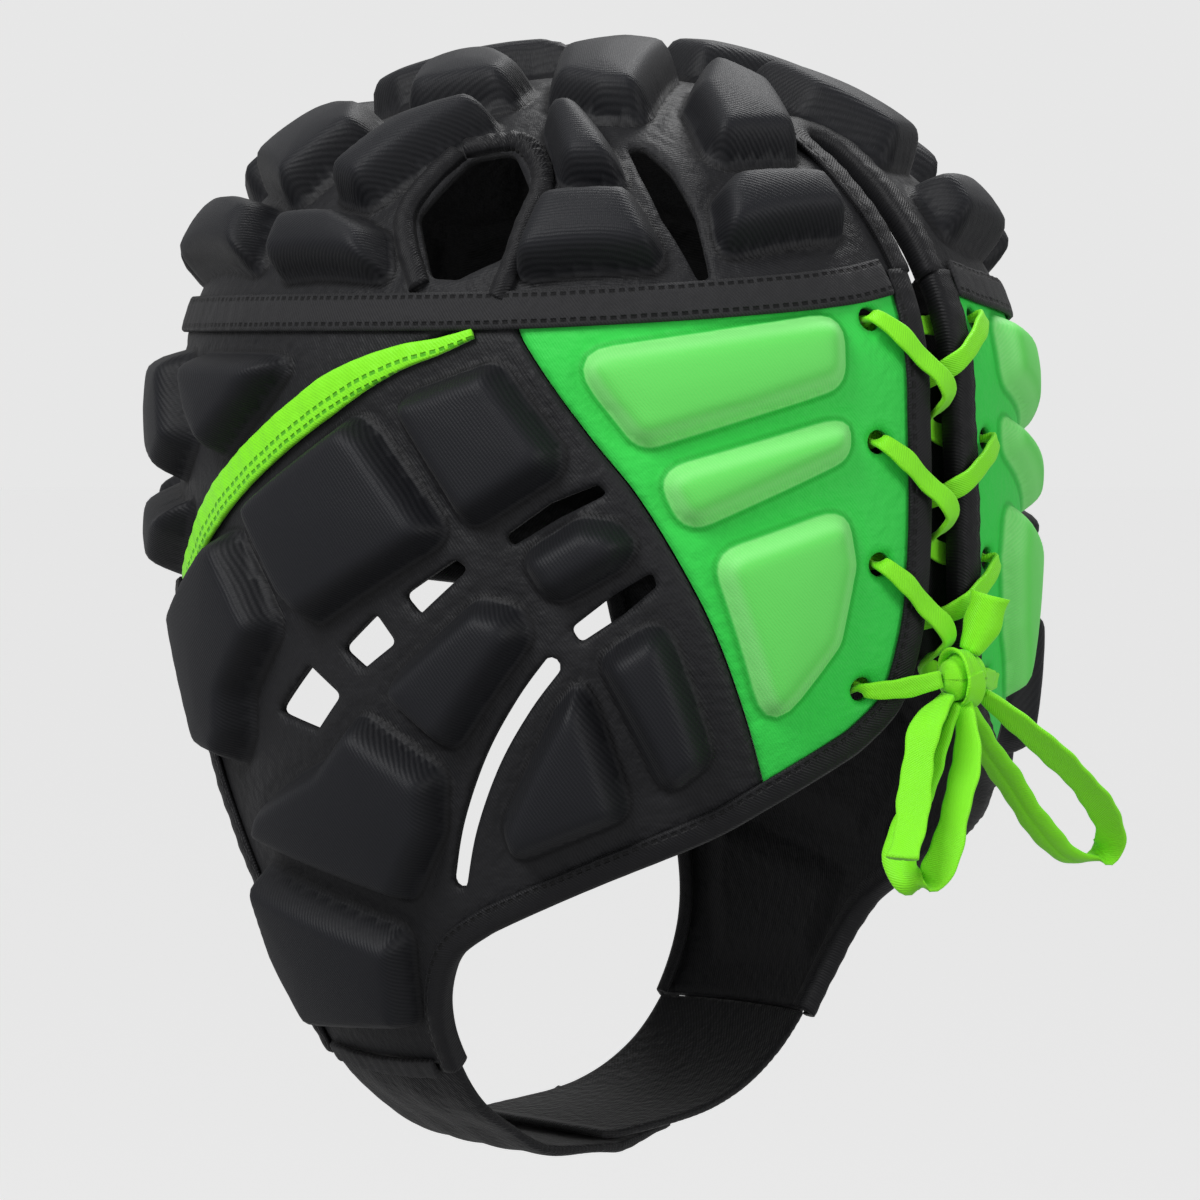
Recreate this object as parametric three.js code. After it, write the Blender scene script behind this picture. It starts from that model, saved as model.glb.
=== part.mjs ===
// A padded scrum cap for rugby: foam-padded panels shaped on a head form, bound with tape,
// laced at the back of the head and held by a strap under the chin.
// Millimetres. The wearer faces -Y, the wearer's left is +X, and Z is up.
// The origin is the highest point of the head that the crown seats on.
import * as THREE from 'three';
import { mergeVertices } from 'three/addons/utils/BufferGeometryUtils.js';

// Inside sizes of the cap, which are the head's
const HALF_WIDTH = 82;
const FRONT_REACH = 97;
const BACK_REACH = 104;
const CROWN_DROP = 70;
const CHIN_DROP = 236.5;
const CROWN_SHIFT = 6;
const CROWN_POWER = 2.08;

// Thickness of the layers
const WALL = 2.6;
const CROWN_PAD_RISE = 9;
const SIDE_PAD_RISE = 8;
const BROW_PAD_RISE = 8;
const BACK_PAD_RISE = 5;
const PAD_BEVEL = 3.4;
const PAD_CORNER = 5;
const VENT_CORNER = 1.5;
const STRAP_WALL = 2.2;
const TAB_WALL = 1.9;
const TONGUE_WALL = 2;

// Tapes
const TAPE_WALL = 1.2;
const BINDING_LEG = 4.6;
const BINDING_INNER_LEG = 3;
const BAND_WIDTH = 8;
const PIPING_WIDTH = 9;
const SEAM_TAPE_WIDTH = 5;

// Lace
const LACE_WIDTH = 4.4;
const LACE_THICKNESS = 1.2;
const EYELET_RADIUS = 2.6;
const BOW_LACE_WIDTH = 7;
const KNOT_HALF_WIDTH = 6.5;
const KNOT_HALF_DEPTH = 4;
const KNOT_HALF_HEIGHT = 5.2;
// Share of its width that the lace has where it comes out of the knot, and its step
const GATHERED = 0.5;
const FREE_LACE_STEP = 5.5;

// Clearances between neighbouring pieces
const SEAM_GAP = 0.4;
const CLEARANCE = 0.45;

// Longest edge of a facet inside a sheet, and step along a tape
const FACET = 28;
const TAPE_STEP = 11;
// How far a divided side bows out, as a share of its length
const BOW = 0.004;

// The flat patterns are drawn in chart steps: so many round half the head from the middle of
// the back, and so many down from the crown to the chin. A step is a share of the head's size
const ROUND_STEPS = 287;
const DOWN_STEPS = 346;
const DEGREE = Math.PI / 180;
// Corners of a pad that turn further than this are rounded with one point more
const SHARP_TURN = 80 * DEGREE;

// The head form

// Below its widest level: the share of the way down to the chin, and the half width and the
// reach to the front and back as shares of the widest
const SIDE_STATIONS = [
  { down: 0, width: 1, front: 1, back: 1 },
  { down: 0.18, width: 1.01, front: 1, back: 1.01 },
  { down: 0.36, width: 0.99, front: 0.97, back: 0.99 },
  { down: 0.54, width: 0.94, front: 0.89, back: 0.91 },
  { down: 0.72, width: 0.84, front: 0.76, back: 0.77 },
  { down: 0.84, width: 0.73, front: 0.66, back: 0.65 },
  { down: 0.93, width: 0.57, front: 0.6, back: 0.58 },
  { down: 0.98, width: 0.35, front: 0.56, back: 0.54 },
  { down: 1, width: 0, front: 0.55, back: 0.53 },
];

function formRows() {
  const rows = [];
  const crownRows = 60;
  for (let i = 0; i <= crownRows; i += 1) {
    const angle = (i / crownRows) * Math.PI / 2;
    const spread = Math.sin(angle) ** (2 / CROWN_POWER);
    const rise = i === crownRows ? 0 : Math.cos(angle) ** (2 / CROWN_POWER);
    const drop = CROWN_DROP * (1 - rise);
    rows.push({ drop, width: spread, front: spread, back: spread, shift: 1 - spread });
  }
  const widths = new THREE.SplineCurve(SIDE_STATIONS.map((s) => new THREE.Vector2(s.down, s.width)));
  const reaches = new THREE.SplineCurve(SIDE_STATIONS.map((s) => new THREE.Vector2(s.front, s.back)));
  const sideRows = 12 * (SIDE_STATIONS.length - 1);
  for (let i = 1; i <= sideRows; i += 1) {
    const { x: down, y: width } = widths.getPoint(i / sideRows);
    const { x: front, y: back } = reaches.getPoint(i / sideRows);
    rows.push({ drop: CROWN_DROP + (CHIN_DROP - CROWN_DROP) * down, width, front, back, shift: 0 });
  }
  const meanRadius = (2 * HALF_WIDTH + FRONT_REACH + BACK_REACH) / 4;
  rows[0].along = 0;
  for (let i = 1; i < rows.length; i += 1) {
    const across = (rows[i].width - rows[i - 1].width) * meanRadius;
    rows[i].along = rows[i - 1].along + Math.hypot(rows[i].drop - rows[i - 1].drop, across);
  }
  return rows;
}

// Turn angles from the back for equal lengths round half of the widest section
function turnTable() {
  const table = [{ turn: 0, along: 0 }];
  const reach = (turn) => (turn < Math.PI / 2 ? BACK_REACH : FRONT_REACH);
  const at = (turn) => [HALF_WIDTH * Math.sin(turn), reach(turn) * Math.cos(turn)];
  for (let i = 1; i <= 180; i += 1) {
    const [x0, y0] = at((i - 1) * DEGREE);
    const [x1, y1] = at(i * DEGREE);
    table.push({ turn: i * DEGREE, along: table[i - 1].along + Math.hypot(x1 - x0, y1 - y0) });
  }
  return table;
}

const FORM = formRows();
const TURNS = turnTable();

// The row of a table at a share of its whole length
function rowAt(table, share) {
  const wanted = share * table[table.length - 1].along;
  let low = 0;
  let high = table.length - 1;
  while (high - low > 1) {
    const middle = (low + high) >> 1;
    if (table[middle].along <= wanted) low = middle;
    else high = middle;
  }
  const t = (wanted - table[low].along) / (table[high].along - table[low].along);
  const row = {};
  for (const key of Object.keys(table[low])) {
    row[key] = THREE.MathUtils.lerp(table[low][key], table[high][key], t);
  }
  return row;
}

// Turn angle at so many steps round from the back, positive to the wearer's left
function turnAt(round) {
  if (round < 0) return -turnAt(-round);
  if (round > ROUND_STEPS) return 2 * Math.PI - turnAt(2 * ROUND_STEPS - round);
  return rowAt(TURNS, round / ROUND_STEPS).turn;
}

function headPoint(turn, down) {
  if (down > DOWN_STEPS) return headPoint(-turn, 2 * DOWN_STEPS - down);
  const row = rowAt(FORM, Math.max(down, 0) / DOWN_STEPS);
  const reach = Math.cos(turn) > 0 ? BACK_REACH * row.back : FRONT_REACH * row.front;
  return new THREE.Vector3(
    HALF_WIDTH * row.width * Math.sin(turn),
    CROWN_SHIFT * row.shift + reach * Math.cos(turn),
    -row.drop,
  );
}

// A chart turns two steps on a flat pattern into a point on the head and the steps' directions
function chartOf(pointAt, lift = () => 0) {
  const frame = (a, b) => {
    const half = 0.5;
    const alongA = pointAt(a + half, b).sub(pointAt(a - half, b));
    const alongB = pointAt(a, b + half).sub(pointAt(a, b - half));
    const normal = new THREE.Vector3().crossVectors(alongA, alongB).normalize();
    return { point: pointAt(a, b), alongA, alongB, normal };
  };
  const place = (a, b, height) => {
    const { point, normal } = frame(a, b);
    return point.addScaledVector(normal, height + lift(a, b));
  };
  return { frame, place };
}

// Sides: steps round from the back and steps down from the crown
const sidePoint = (round, down) => headPoint(turnAt(round), down);
// Crown: steps to the wearer's left and steps back from the highest point
const crownPoint = (left, back) => headPoint(Math.atan2(left, back), Math.hypot(left, back));
const SIDE_CHART = chartOf(sidePoint);
const CROWN_CHART = chartOf(crownPoint);

// Flat patterns

const flat = ([x, y]) => new THREE.Vector2(x, y);
const distance = ([ax, ay], [bx, by]) => Math.hypot(bx - ax, by - ay);

// A smooth line through a few pattern points, in steps of about the given length
function smooth(points, step = TAPE_STEP) {
  const curve = new THREE.SplineCurve(points.map(flat));
  const count = Math.max(1, Math.round(curve.getLength() / step));
  return curve.getSpacedPoints(count).map(({ x, y }) => [x, y]);
}

// Joins lines that meet end to end into one closed outline
function closed(...lines) {
  const outline = [];
  for (const point of lines.flat()) {
    if (!outline.length || distance(point, outline[outline.length - 1]) > 0.5) outline.push(point);
  }
  if (distance(outline[0], outline[outline.length - 1]) <= 0.5) outline.pop();
  return THREE.ShapeUtils.area(outline.map(flat)) > 0 ? outline : outline.reverse();
}

// Moves each side of a closed outline inwards
function inset(outline, depth) {
  const count = outline.length;
  return outline.map((point, i) => {
    const before = flat(point).sub(flat(outline[(i + count - 1) % count])).normalize();
    const after = flat(outline[(i + 1) % count]).sub(flat(point)).normalize();
    const scale = depth / Math.max(0.35, 1 + before.dot(after));
    return [point[0] - (before.y + after.y) * scale, point[1] + (before.x + after.x) * scale];
  });
}

// A point part of the way along a side that bows slightly outwards
function bowed(from, to, part) {
  const out = new THREE.Vector2(to.y - from.y, from.x - to.x);
  return from.clone().lerp(to, part).addScaledVector(out, BOW * 4 * part * (1 - part));
}

function cornerTurn(corners, i) {
  const here = flat(corners[i]);
  const toLast = flat(corners[(i + corners.length - 1) % corners.length]).sub(here);
  return Math.PI - toLast.angleTo(flat(corners[(i + 1) % corners.length]).sub(here));
}

// A closed outline moved inwards, with two points round each corner and three round a sharp one.
// The sides between are divided as the outline's own are, so that its rings match point for point
function ringOf(corners, radius, depth = 0) {
  const moved = inset(corners, depth).map(flat);
  const count = corners.length;
  return moved.flatMap((here, i) => {
    const last = moved[(i + count - 1) % count];
    const next = moved[(i + 1) % count];
    const turn = cornerTurn(corners, i);
    const reach = Math.max(radius - depth, 0.4) * Math.tan(turn / 2);
    const cut = (other) => Math.min(reach / here.distanceTo(other), 0.4);
    const start = here.clone().lerp(last, cut(last));
    const end = here.clone().lerp(next, cut(next));
    const middle = start.clone().add(end).multiplyScalar(0.25).addScaledVector(here, 0.5);
    const far = next.clone().lerp(here, 0.25);
    const parts = Math.ceil(distance(corners[i], corners[(i + 1) % count]) / (FACET + 2 * radius));
    const along = Array.from({ length: parts - 1 }, (_, k) => bowed(end, far, (k + 1) / parts));
    const corner = turn > SHARP_TURN ? [start, middle, end] : [start, end];
    return [...corner, ...along].map(({ x, y }) => [x, y]);
  });
}

// Adds points so that no side of a closed outline is longer than a facet
function divided(outline) {
  return outline.flatMap((point, i) => {
    const next = outline[(i + 1) % outline.length];
    const parts = Math.ceil(distance(point, next) / FACET);
    return Array.from({ length: parts }, (_, k) => bowed(flat(point), flat(next), k / parts).toArray());
  });
}

function circle([x, y], radius, sides = 8) {
  return Array.from({ length: sides }, (_, i) => {
    const angle = (i * 2 * Math.PI) / sides;
    return [x + radius * Math.cos(angle), y + radius * Math.sin(angle)];
  });
}

// A narrow slot round a line
function slot(line, halfWidth) {
  const path = smooth(line);
  const side = (sign) => path.map((point, i) => {
    const after = flat(path[Math.min(i + 1, path.length - 1)]);
    const direction = after.sub(flat(path[Math.max(i - 1, 0)])).normalize();
    return [point[0] - sign * direction.y * halfWidth, point[1] + sign * direction.x * halfWidth];
  });
  return closed(side(1), side(-1).reverse());
}

const mirrorLine = (line) => line.map(([x, y]) => [-x, y]);

// Meshes

// Fills flat rings with triangles of even shape: the first ring is the outline, the others holes
function fill(points, rings, facesUp, facet = FACET) {
  const at = (i) => new THREE.Vector2(points[i][0], points[i][1]);
  const order = rings.flat();
  const area = (i, j, k) => THREE.ShapeUtils.area([at(i), at(j), at(k)]);
  const holes = rings.slice(1).map((ring) => ring.map(at));
  const faces = THREE.ShapeUtils.triangulateShape(rings[0].map(at), holes)
    .map((face) => face.map((i) => order[i]))
    .map(([i, j, k]) => (area(i, j, k) > 0 ? [i, j, k] : [i, k, j]));
  const key = (i, j) => (i < j ? `${i},${j}` : `${j},${i}`);
  const ringSides = (ring) => ring.map((i, n) => key(i, ring[(n + 1) % ring.length]));
  const fixed = new Set(rings.flatMap(ringSides));
  const sides = () => {
    const found = new Map();
    faces.forEach((face, f) => face.forEach((i, n) => {
      const name = key(i, face[(n + 1) % 3]);
      if (fixed.has(name)) return;
      if (!found.has(name)) found.set(name, []);
      found.get(name).push({ face: f, from: i, to: face[(n + 1) % 3], tip: face[(n + 2) % 3] });
    }));
    return found;
  };
  const cosine = (tip, i, j) => at(i).sub(at(tip)).normalize().dot(at(j).sub(at(tip)).normalize());
  const flip = () => {
    const touched = new Set();
    for (const [one, two] of sides().values()) {
      if (!two || touched.has(one.face) || touched.has(two.face)) continue;
      const open = Math.acos(THREE.MathUtils.clamp(cosine(one.tip, one.from, one.to), -1, 1))
        + Math.acos(THREE.MathUtils.clamp(cosine(two.tip, one.from, one.to), -1, 1));
      if (open < Math.PI + 0.01) continue;
      const least = Math.min(area(one.tip, one.from, two.tip), area(one.tip, two.tip, one.to));
      if (least < 0.01) continue;
      faces[one.face] = [one.tip, one.from, two.tip];
      faces[two.face] = [one.tip, two.tip, one.to];
      touched.add(one.face).add(two.face);
    }
    return touched.size;
  };
  const relax = () => {
    for (let pass = 0; pass < 40 && flip(); pass += 1);
  };
  relax();
  for (let pass = 0; pass < 6; pass += 1) {
    const long = [...sides().values()]
      .map(([one, two]) => ({ one, two, length: at(one.from).distanceTo(at(one.to)) }))
      .filter(({ two, length }) => two && length > facet)
      .sort((a, b) => b.length - a.length);
    const touched = new Set();
    for (const { one, two } of long) {
      if (touched.has(one.face) || touched.has(two.face)) continue;
      const halfway = points[one.from].map((value, n) => (value + points[one.to][n]) / 2);
      const middle = points.push(halfway) - 1;
      faces[one.face] = [one.from, middle, one.tip];
      faces[two.face] = [one.to, middle, two.tip];
      faces.push([middle, one.to, one.tip], [middle, one.from, two.tip]);
      touched.add(one.face).add(two.face);
    }
    if (!touched.size) break;
    relax();
  }
  return facesUp ? faces : faces.map(([i, j, k]) => [i, k, j]);
}

function between(low, high) {
  return low.flatMap((from, n) => {
    const next = (n + 1) % low.length;
    return [[from, low[next], high[next]], [from, high[next], high[n]]];
  });
}

function meshOf(points, faces) {
  const geometry = new THREE.BufferGeometry();
  const numbers = points.flatMap((point) => point.toArray());
  geometry.setAttribute('position', new THREE.Float32BufferAttribute(numbers, 3));
  geometry.setIndex(faces.flat());
  return mergeVertices(geometry, 1e-4);
}

// A sheet on the head with vents cut through it and foam pads standing on its outer face
function sheet(chart, { outline, vents = [], pads = [], wall = WALL, rise = 0, facet = FACET }) {
  const points = [];
  const ringAt = (ring, height) => ring.map(([a, b]) => points.push([a, b, height]) - 1);
  const edge = divided(inset(outline, SEAM_GAP / 2));
  const holes = vents.map((vent) => divided(vent).reverse());
  const bottom = [edge, ...holes].map((ring) => ringAt(ring, 0));
  const top = [edge, ...holes].map((ring) => ringAt(ring, wall));
  const padRing = (pad, depth, height) => ringAt(ringOf(pad, PAD_CORNER, depth), height);
  const feet = pads.map((pad) => padRing(pad, 0, wall));
  const faces = [
    ...bottom.flatMap((ring, n) => between(ring, top[n])),
    ...fill(points, bottom, false, facet),
    ...fill(points, [...top, ...feet], true, facet),
  ];
  pads.forEach((pad, n) => {
    const shoulder = padRing(pad, 0.3 * PAD_BEVEL, wall + 0.7 * rise);
    const crest = padRing(pad, PAD_BEVEL, wall + rise);
    faces.push(...between(feet[n], shoulder), ...between(shoulder, crest));
    faces.push(...fill(points, [crest], true));
  });
  return meshOf(points.map(([a, b, height]) => chart.place(a, b, height)), faces);
}

// A tape laid along a line of the pattern. Its section is a closed ring of [side, height]
// points, side being to the left of the line seen from outside
function tape(chart, line, sectionAt) {
  const frames = line.map(([a, b], i) => {
    const { alongA, alongB, normal } = chart.frame(a, b);
    const before = line[Math.max(i - 1, 0)];
    const after = line[Math.min(i + 1, line.length - 1)];
    const along = chart.place(...after, 0).sub(chart.place(...before, 0)).normalize();
    const side = new THREE.Vector3().crossVectors(normal, along).normalize();
    const aa = alongA.dot(alongA);
    const ab = alongA.dot(alongB);
    const bb = alongB.dot(alongB);
    const det = aa * bb - ab * ab;
    const sa = side.dot(alongA);
    const sb = side.dot(alongB);
    return { a, b, stepA: (sa * bb - sb * ab) / det, stepB: (sb * aa - sa * ab) / det };
  });
  const rings = frames.map(({ a, b, stepA, stepB }, i) => sectionAt(i / (line.length - 1))
    .map(([side, height]) => chart.place(a + stepA * side, b + stepB * side, height)));
  return swept(rings, sectionAt(0));
}

// Joins rings of points into a closed tube with flat ends
function swept(rings, section) {
  const count = section.length;
  const cap = THREE.ShapeUtils.triangulateShape(section.map(flat), []);
  const faces = [];
  for (let i = 0; i + 1 < rings.length; i += 1) {
    const low = section.map((_, n) => i * count + n);
    faces.push(...between(low, low.map((n) => n + count)));
  }
  const last = (rings.length - 1) * count;
  for (const [i, j, k] of cap) faces.push([i, k, j], [last + i, last + j, last + k]);
  return meshOf(rings.flat(), faces);
}

function flatTape(halfWidth, low) {
  const high = low + TAPE_WALL;
  return [[-halfWidth, low], [halfWidth, low], [halfWidth, high], [-halfWidth, high]];
}

// Tape folded round a raw edge: the line is the edge, and the sheet lies on its left
function foldedTape(wall) {
  const under = -CLEARANCE;
  const over = wall + CLEARANCE;
  const lip = CLEARANCE + SEAM_GAP / 2;
  return [
    [BINDING_INNER_LEG, under - TAPE_WALL],
    [BINDING_INNER_LEG, under],
    [-CLEARANCE, under],
    [-CLEARANCE, over],
    [BINDING_LEG, over],
    [BINDING_LEG, over + TAPE_WALL],
    [-lip - TAPE_WALL, over + 0.5 * TAPE_WALL],
    [-lip - TAPE_WALL, under - 0.5 * TAPE_WALL],
  ];
}

const LACE_SECTION = [[-1, -1], [1, -1], [1, 1], [-1, 1]];

// A flat lace through points in space, each with a direction across and a share of its width
function ribbon(stations, width, thickness) {
  const rings = stations.map(({ point, across, share = 1 }, i) => {
    const before = stations[Math.max(i - 1, 0)].point;
    const after = stations[Math.min(i + 1, stations.length - 1)].point;
    const along = after.clone().sub(before).normalize();
    const side = across.clone().addScaledVector(along, -across.dot(along)).normalize();
    const up = new THREE.Vector3().crossVectors(along, side);
    const half = (width * share) / 2;
    return LACE_SECTION.map(([s, t]) => point.clone()
      .addScaledVector(side, s * half)
      .addScaledVector(up, (t * thickness) / 2));
  });
  return swept(rings, LACE_SECTION);
}

function mirrored(geometry) {
  const copy = geometry.clone();
  copy.scale(-1, 1, 1);
  const turned = (n) => copy.index.getX(n - (n % 3) + [0, 2, 1][n % 3]);
  copy.setIndex(Array.from({ length: copy.index.count }, (_, n) => turned(n)));
  return copy;
}

// The model

const COLOURS = {
  black: { color: 0x1b1c20, roughness: 0.85, metalness: 0 },
  green: { color: 0x35e05a, roughness: 0.7, metalness: 0 },
  lime: { color: 0x8dfb34, roughness: 0.75, metalness: 0 },
};

const cap = new THREE.Group();

function add(name, geometry, colour) {
  const mesh = new THREE.Mesh(geometry, new THREE.MeshStandardMaterial(COLOURS[colour]));
  mesh.name = name;
  mesh.geometry.computeVertexNormals();
  cap.add(mesh);
}

// Makes the left piece and its mirror image for the right
function addPair(name, geometry, colour) {
  add(`${name}_left`, geometry, colour);
  add(`${name}_right`, mirrored(geometry), colour);
}

// Lines that two pieces share, on the side chart

// Half width of the slit at the back, as steps
const SLIT_HALF_WIDTH = 5.6;
const SLIT_TOP = 58;
// Places where lines meet
const BAND_BACK = [SLIT_HALF_WIDTH, 101];
const SEAM_TOP = [94, 108.5];
const SEAM_FOOT = [38, 210];
const SLIT_FOOT = [9, 182];
const CORNER_FOOT = [20, 199];
const NECK_CORNER = [100, 239];
const BROW_CORNER = [207, 172];
const STRAP_DOWN = 276;
const STRAP_REAR_FOOT = [119, STRAP_DOWN];
const STRAP_FRONT_FOOT = [187, STRAP_DOWN];
// Middle of the band round the head, which dips towards the lacing
const BAND_LINE = [
  [BAND_BACK[0] + 1.4, BAND_BACK[1]], [25, 104], [54, 106.5], [95, 108.5], [150, 109], [220, 109.5],
  [ROUND_STEPS, 110],
];
// Slit at the back, from the band down to the lower edge
const SLIT_EDGE = [BAND_BACK, [SLIT_HALF_WIDTH, 125], [6, 150], [7, 170], SLIT_FOOT];
const BACK_CORNER = [SLIT_FOOT, [12, 191], CORNER_FOOT];
const LOWER_EDGE = [CORNER_FOOT, SEAM_FOOT, [50, 217], [73, 227], NECK_CORNER];
const STRAP_REAR = [NECK_CORNER, [111, 246], [117, 256], [119, 266], STRAP_REAR_FOOT];
const FACE_EDGE = [
  BROW_CORNER, [203, 190], [197, 208], [191, 224], [186, 240], [184, 256], STRAP_FRONT_FOOT,
];
const BROW_EDGE = [BROW_CORNER, [230, 174], [258, 171], [ROUND_STEPS, 169]];
// Seam between the back panel and the side panel
const BACK_SEAM = [SEAM_TOP, [92, 115], [78, 134], [67, 148], [55, 169], [46, 190], SEAM_FOOT];
// Middle of the piping between the brow panel and the side panel
const PIPING_LINE = [
  SEAM_TOP, [113, 114.5], [137, 125], [158, 137], [180, 151], [198, 165], BROW_CORNER,
];

const bandLine = smooth(BAND_LINE);
const slitEdge = smooth(SLIT_EDGE);
const backCorner = smooth(BACK_CORNER, 4);
const backSeam = smooth(BACK_SEAM);
const pipingLine = smooth(PIPING_LINE);
const lowerEdge = smooth(LOWER_EDGE);
const strapRear = smooth(STRAP_REAR, 7);
const faceEdge = smooth(FACE_EDGE);
const browEdge = smooth(BROW_EDGE);

// Points of a line between two places along the steps round the head
const span = (line, from, to) => line.filter(([a]) => a >= from - 0.01 && a <= to + 0.01);
const lowerBack = smooth(LOWER_EDGE.slice(0, 2));
const lowerSide = smooth(LOWER_EDGE.slice(1));

// Crown

// Corners of the pads on the wearer's left, as steps left and back from the highest point
const CROWN_PADS = [
  { pad: 'middle_front', corners: [[3, 4], [12, -9], [32, -31], [30, -42], [3, -44]] },
  { pad: 'middle_side', corners: [[55, -7], [30, -25], [17, -14], [35, 11], [46, 15]] },
  { pad: 'middle_back', corners: [[44, 23], [26, 9], [5, 9], [3, 24], [36, 43], [42, 35]] },
  { pad: 'second_brow', corners: [[3, -50], [32, -48], [50, -64], [40, -75], [3, -80]] },
  { pad: 'second_front', corners: [[56, -55], [41, -38], [52, -17], [63, -9], [82, -22]] },
  { pad: 'second_side', corners: [[81, -10], [62, -1], [51, 12], [55, 19], [73, 11], [85, 5]] },
  { pad: 'second_rear', corners: [[50, 26], [45, 34], [52, 49], [57, 56], [66, 45]] },
  { pad: 'second_back', corners: [[26, 45], [5, 31], [5, 52], [16, 70], [38, 63]] },
  { pad: 'low_brow', corners: [[3, -86], [36, -81], [44, -92], [3, -103]] },
  { pad: 'low_corner', corners: [[42, -79], [53, -69], [66, -79], [52, -90]] },
  { pad: 'low_front', corners: [[72, -74], [60, -60], [80, -29], [99, -24]] },
  { pad: 'low_side', corners: [[101, -17], [86, -17], [87, 2], [91, 14], [101, 21]] },
  { pad: 'low_rear', corners: [[91, 49], [71, 44], [58, 59], [65, 77]] },
  { pad: 'low_back', corners: [[46, 71], [39, 69], [18, 77], [19, 91], [54, 82]] },
];
const SIDE_VENT = [[97, 29], [95, 36], [86, 44], [69, 38], [60, 26], [65, 19], [84, 17]];
const REAR_VENT = [[61, 82], [57, 66], [51, 54], [46, 46], [43, 48], [45, 58], [50, 70], [58, 83]];

const onCrown = ([round, down]) => [down * Math.sin(turnAt(round)), down * Math.cos(turnAt(round))];

// The left half of the slit's edge, from the middle of its round end down to the band
const SLIT_END = BAND_BACK[1] - BAND_WIDTH * 0.3;
const slitHalf = [
  [0.6 * SLIT_HALF_WIDTH, SLIT_TOP + 0.3 * SLIT_HALF_WIDTH],
  [SLIT_HALF_WIDTH, SLIT_TOP + SLIT_HALF_WIDTH],
  ...[0.25, 0.5, 0.75, 1].map((part) => [
    SLIT_HALF_WIDTH,
    THREE.MathUtils.lerp(SLIT_TOP + SLIT_HALF_WIDTH, SLIT_END, part),
  ]),
];

function crownOutline() {
  const half = [[0, SLIT_TOP], ...slitHalf, ...bandLine.map(onCrown)];
  return closed(half, mirrorLine(half).reverse());
}

add('crown', sheet(CROWN_CHART, {
  outline: crownOutline(),
  vents: [SIDE_VENT, REAR_VENT].flatMap((vent) => [closed(vent), closed(mirrorLine(vent))]),
  pads: CROWN_PADS.flatMap(({ corners }) => [closed(corners), closed(mirrorLine(corners))]),
  rise: CROWN_PAD_RISE,
}), 'black');

// Brow panel, from piping to piping round the forehead

// Corners of the pads on the wearer's left, as steps round and down
const BROW_PADS = [
  { pad: 'temple', corners: [[193, 118], [149, 118], [161, 129], [177, 141], [186, 132]] },
  { pad: 'outer_high', corners: [[200, 118], [232, 118], [232, 140], [204, 146], [193, 137]] },
  {
    pad: 'outer_low',
    corners: [[196, 150], [206, 152], [232, 147], [232, 167], [212, 167], [200, 158]],
  },
  { pad: 'inner_high', corners: [[239, 118], [284, 119], [284, 139], [239, 139]] },
  { pad: 'inner_low', corners: [[239, 145], [284, 145], [284, 162], [262, 164], [239, 167]] },
];

const acrossBrow = (line) => line.map(([a, b]) => [2 * ROUND_STEPS - a, b]);

function browOutline() {
  const upper = span(bandLine, SEAM_TOP[0], ROUND_STEPS);
  const lower = [...pipingLine, ...browEdge];
  return closed(upper, acrossBrow(upper).reverse(), acrossBrow(lower), lower.slice().reverse());
}

add('brow_panel', sheet(SIDE_CHART, {
  outline: browOutline(),
  pads: BROW_PADS.flatMap(({ corners }) => [closed(corners), closed(acrossBrow(corners))]),
  rise: BROW_PAD_RISE,
}), 'black');

// Side panels, which cover the ears and run down the cheeks to the strap

const SIDE_PADS = [
  { pad: 'above_ear', corners: [[122, 127], [97, 119], [83, 137], [84, 142], [103, 154]] },
  {
    pad: 'ear_front',
    corners: [[164, 150], [131, 130], [125, 134], [107, 155], [143, 175], [150, 170]],
  },
  {
    pad: 'temple',
    corners: [
      [200, 174], [176, 157], [169, 156], [154, 176], [168, 191], [170, 200], [176, 207], [190, 205],
    ],
  },
  {
    pad: 'ear_back',
    corners: [[92, 159], [79, 151], [72, 152], [68, 156], [71, 161], [83, 168], [87, 167]],
  },
  { pad: 'ear_middle', corners: [[101, 168], [92, 170], [90, 176], [99, 188], [108, 201], [125, 188]] },
  { pad: 'nape', corners: [[76, 180], [63, 171], [51, 201], [60, 209]] },
  { pad: 'ear_low', corners: [[79, 184], [84, 190], [96, 216], [93, 224], [67, 213]] },
  {
    pad: 'cheek',
    corners: [[142, 204], [131, 193], [110, 205], [111, 218], [121, 234], [173, 223], [165, 214]],
  },
  { pad: 'jaw', corners: [[178, 229], [123, 241], [126, 264], [170, 267], [177, 250]] },
];
const EAR_VENTS = [
  { vent: 'front', corners: [[147, 184], [138, 190], [146, 198], [160, 195]] },
  { vent: 'middle', corners: [[127, 172], [122, 178], [131, 184], [137, 180]] },
  { vent: 'upper', corners: [[120, 168], [107, 160], [104, 162], [116, 172]] },
  { vent: 'rear_high', corners: [[96, 155], [86, 148], [76, 144], [74, 146], [84, 151], [94, 157]] },
  { vent: 'rear_low', corners: [[82, 174], [73, 167], [65, 162], [64, 165], [71, 171], [80, 177]] },
];
const SLOT_LINE = [[86, 182], [92, 190], [99, 202], [105, 217], [108, 229]];
const SLOT_HALF_WIDTH = 2;

function sideOutline() {
  const rear = [...backSeam, ...lowerSide, ...strapRear];
  return closed(pipingLine, faceEdge, rear.reverse());
}

addPair('side_panel', sheet(SIDE_CHART, {
  outline: sideOutline(),
  vents: [
    ...EAR_VENTS.map(({ corners }) => ringOf(closed(corners), VENT_CORNER)),
    slot(SLOT_LINE, SLOT_HALF_WIDTH),
  ],
  pads: SIDE_PADS.map(({ corners }) => closed(corners)),
  rise: SIDE_PAD_RISE,
}), 'black');

// Back panels, with the eyelets for the lace

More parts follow.
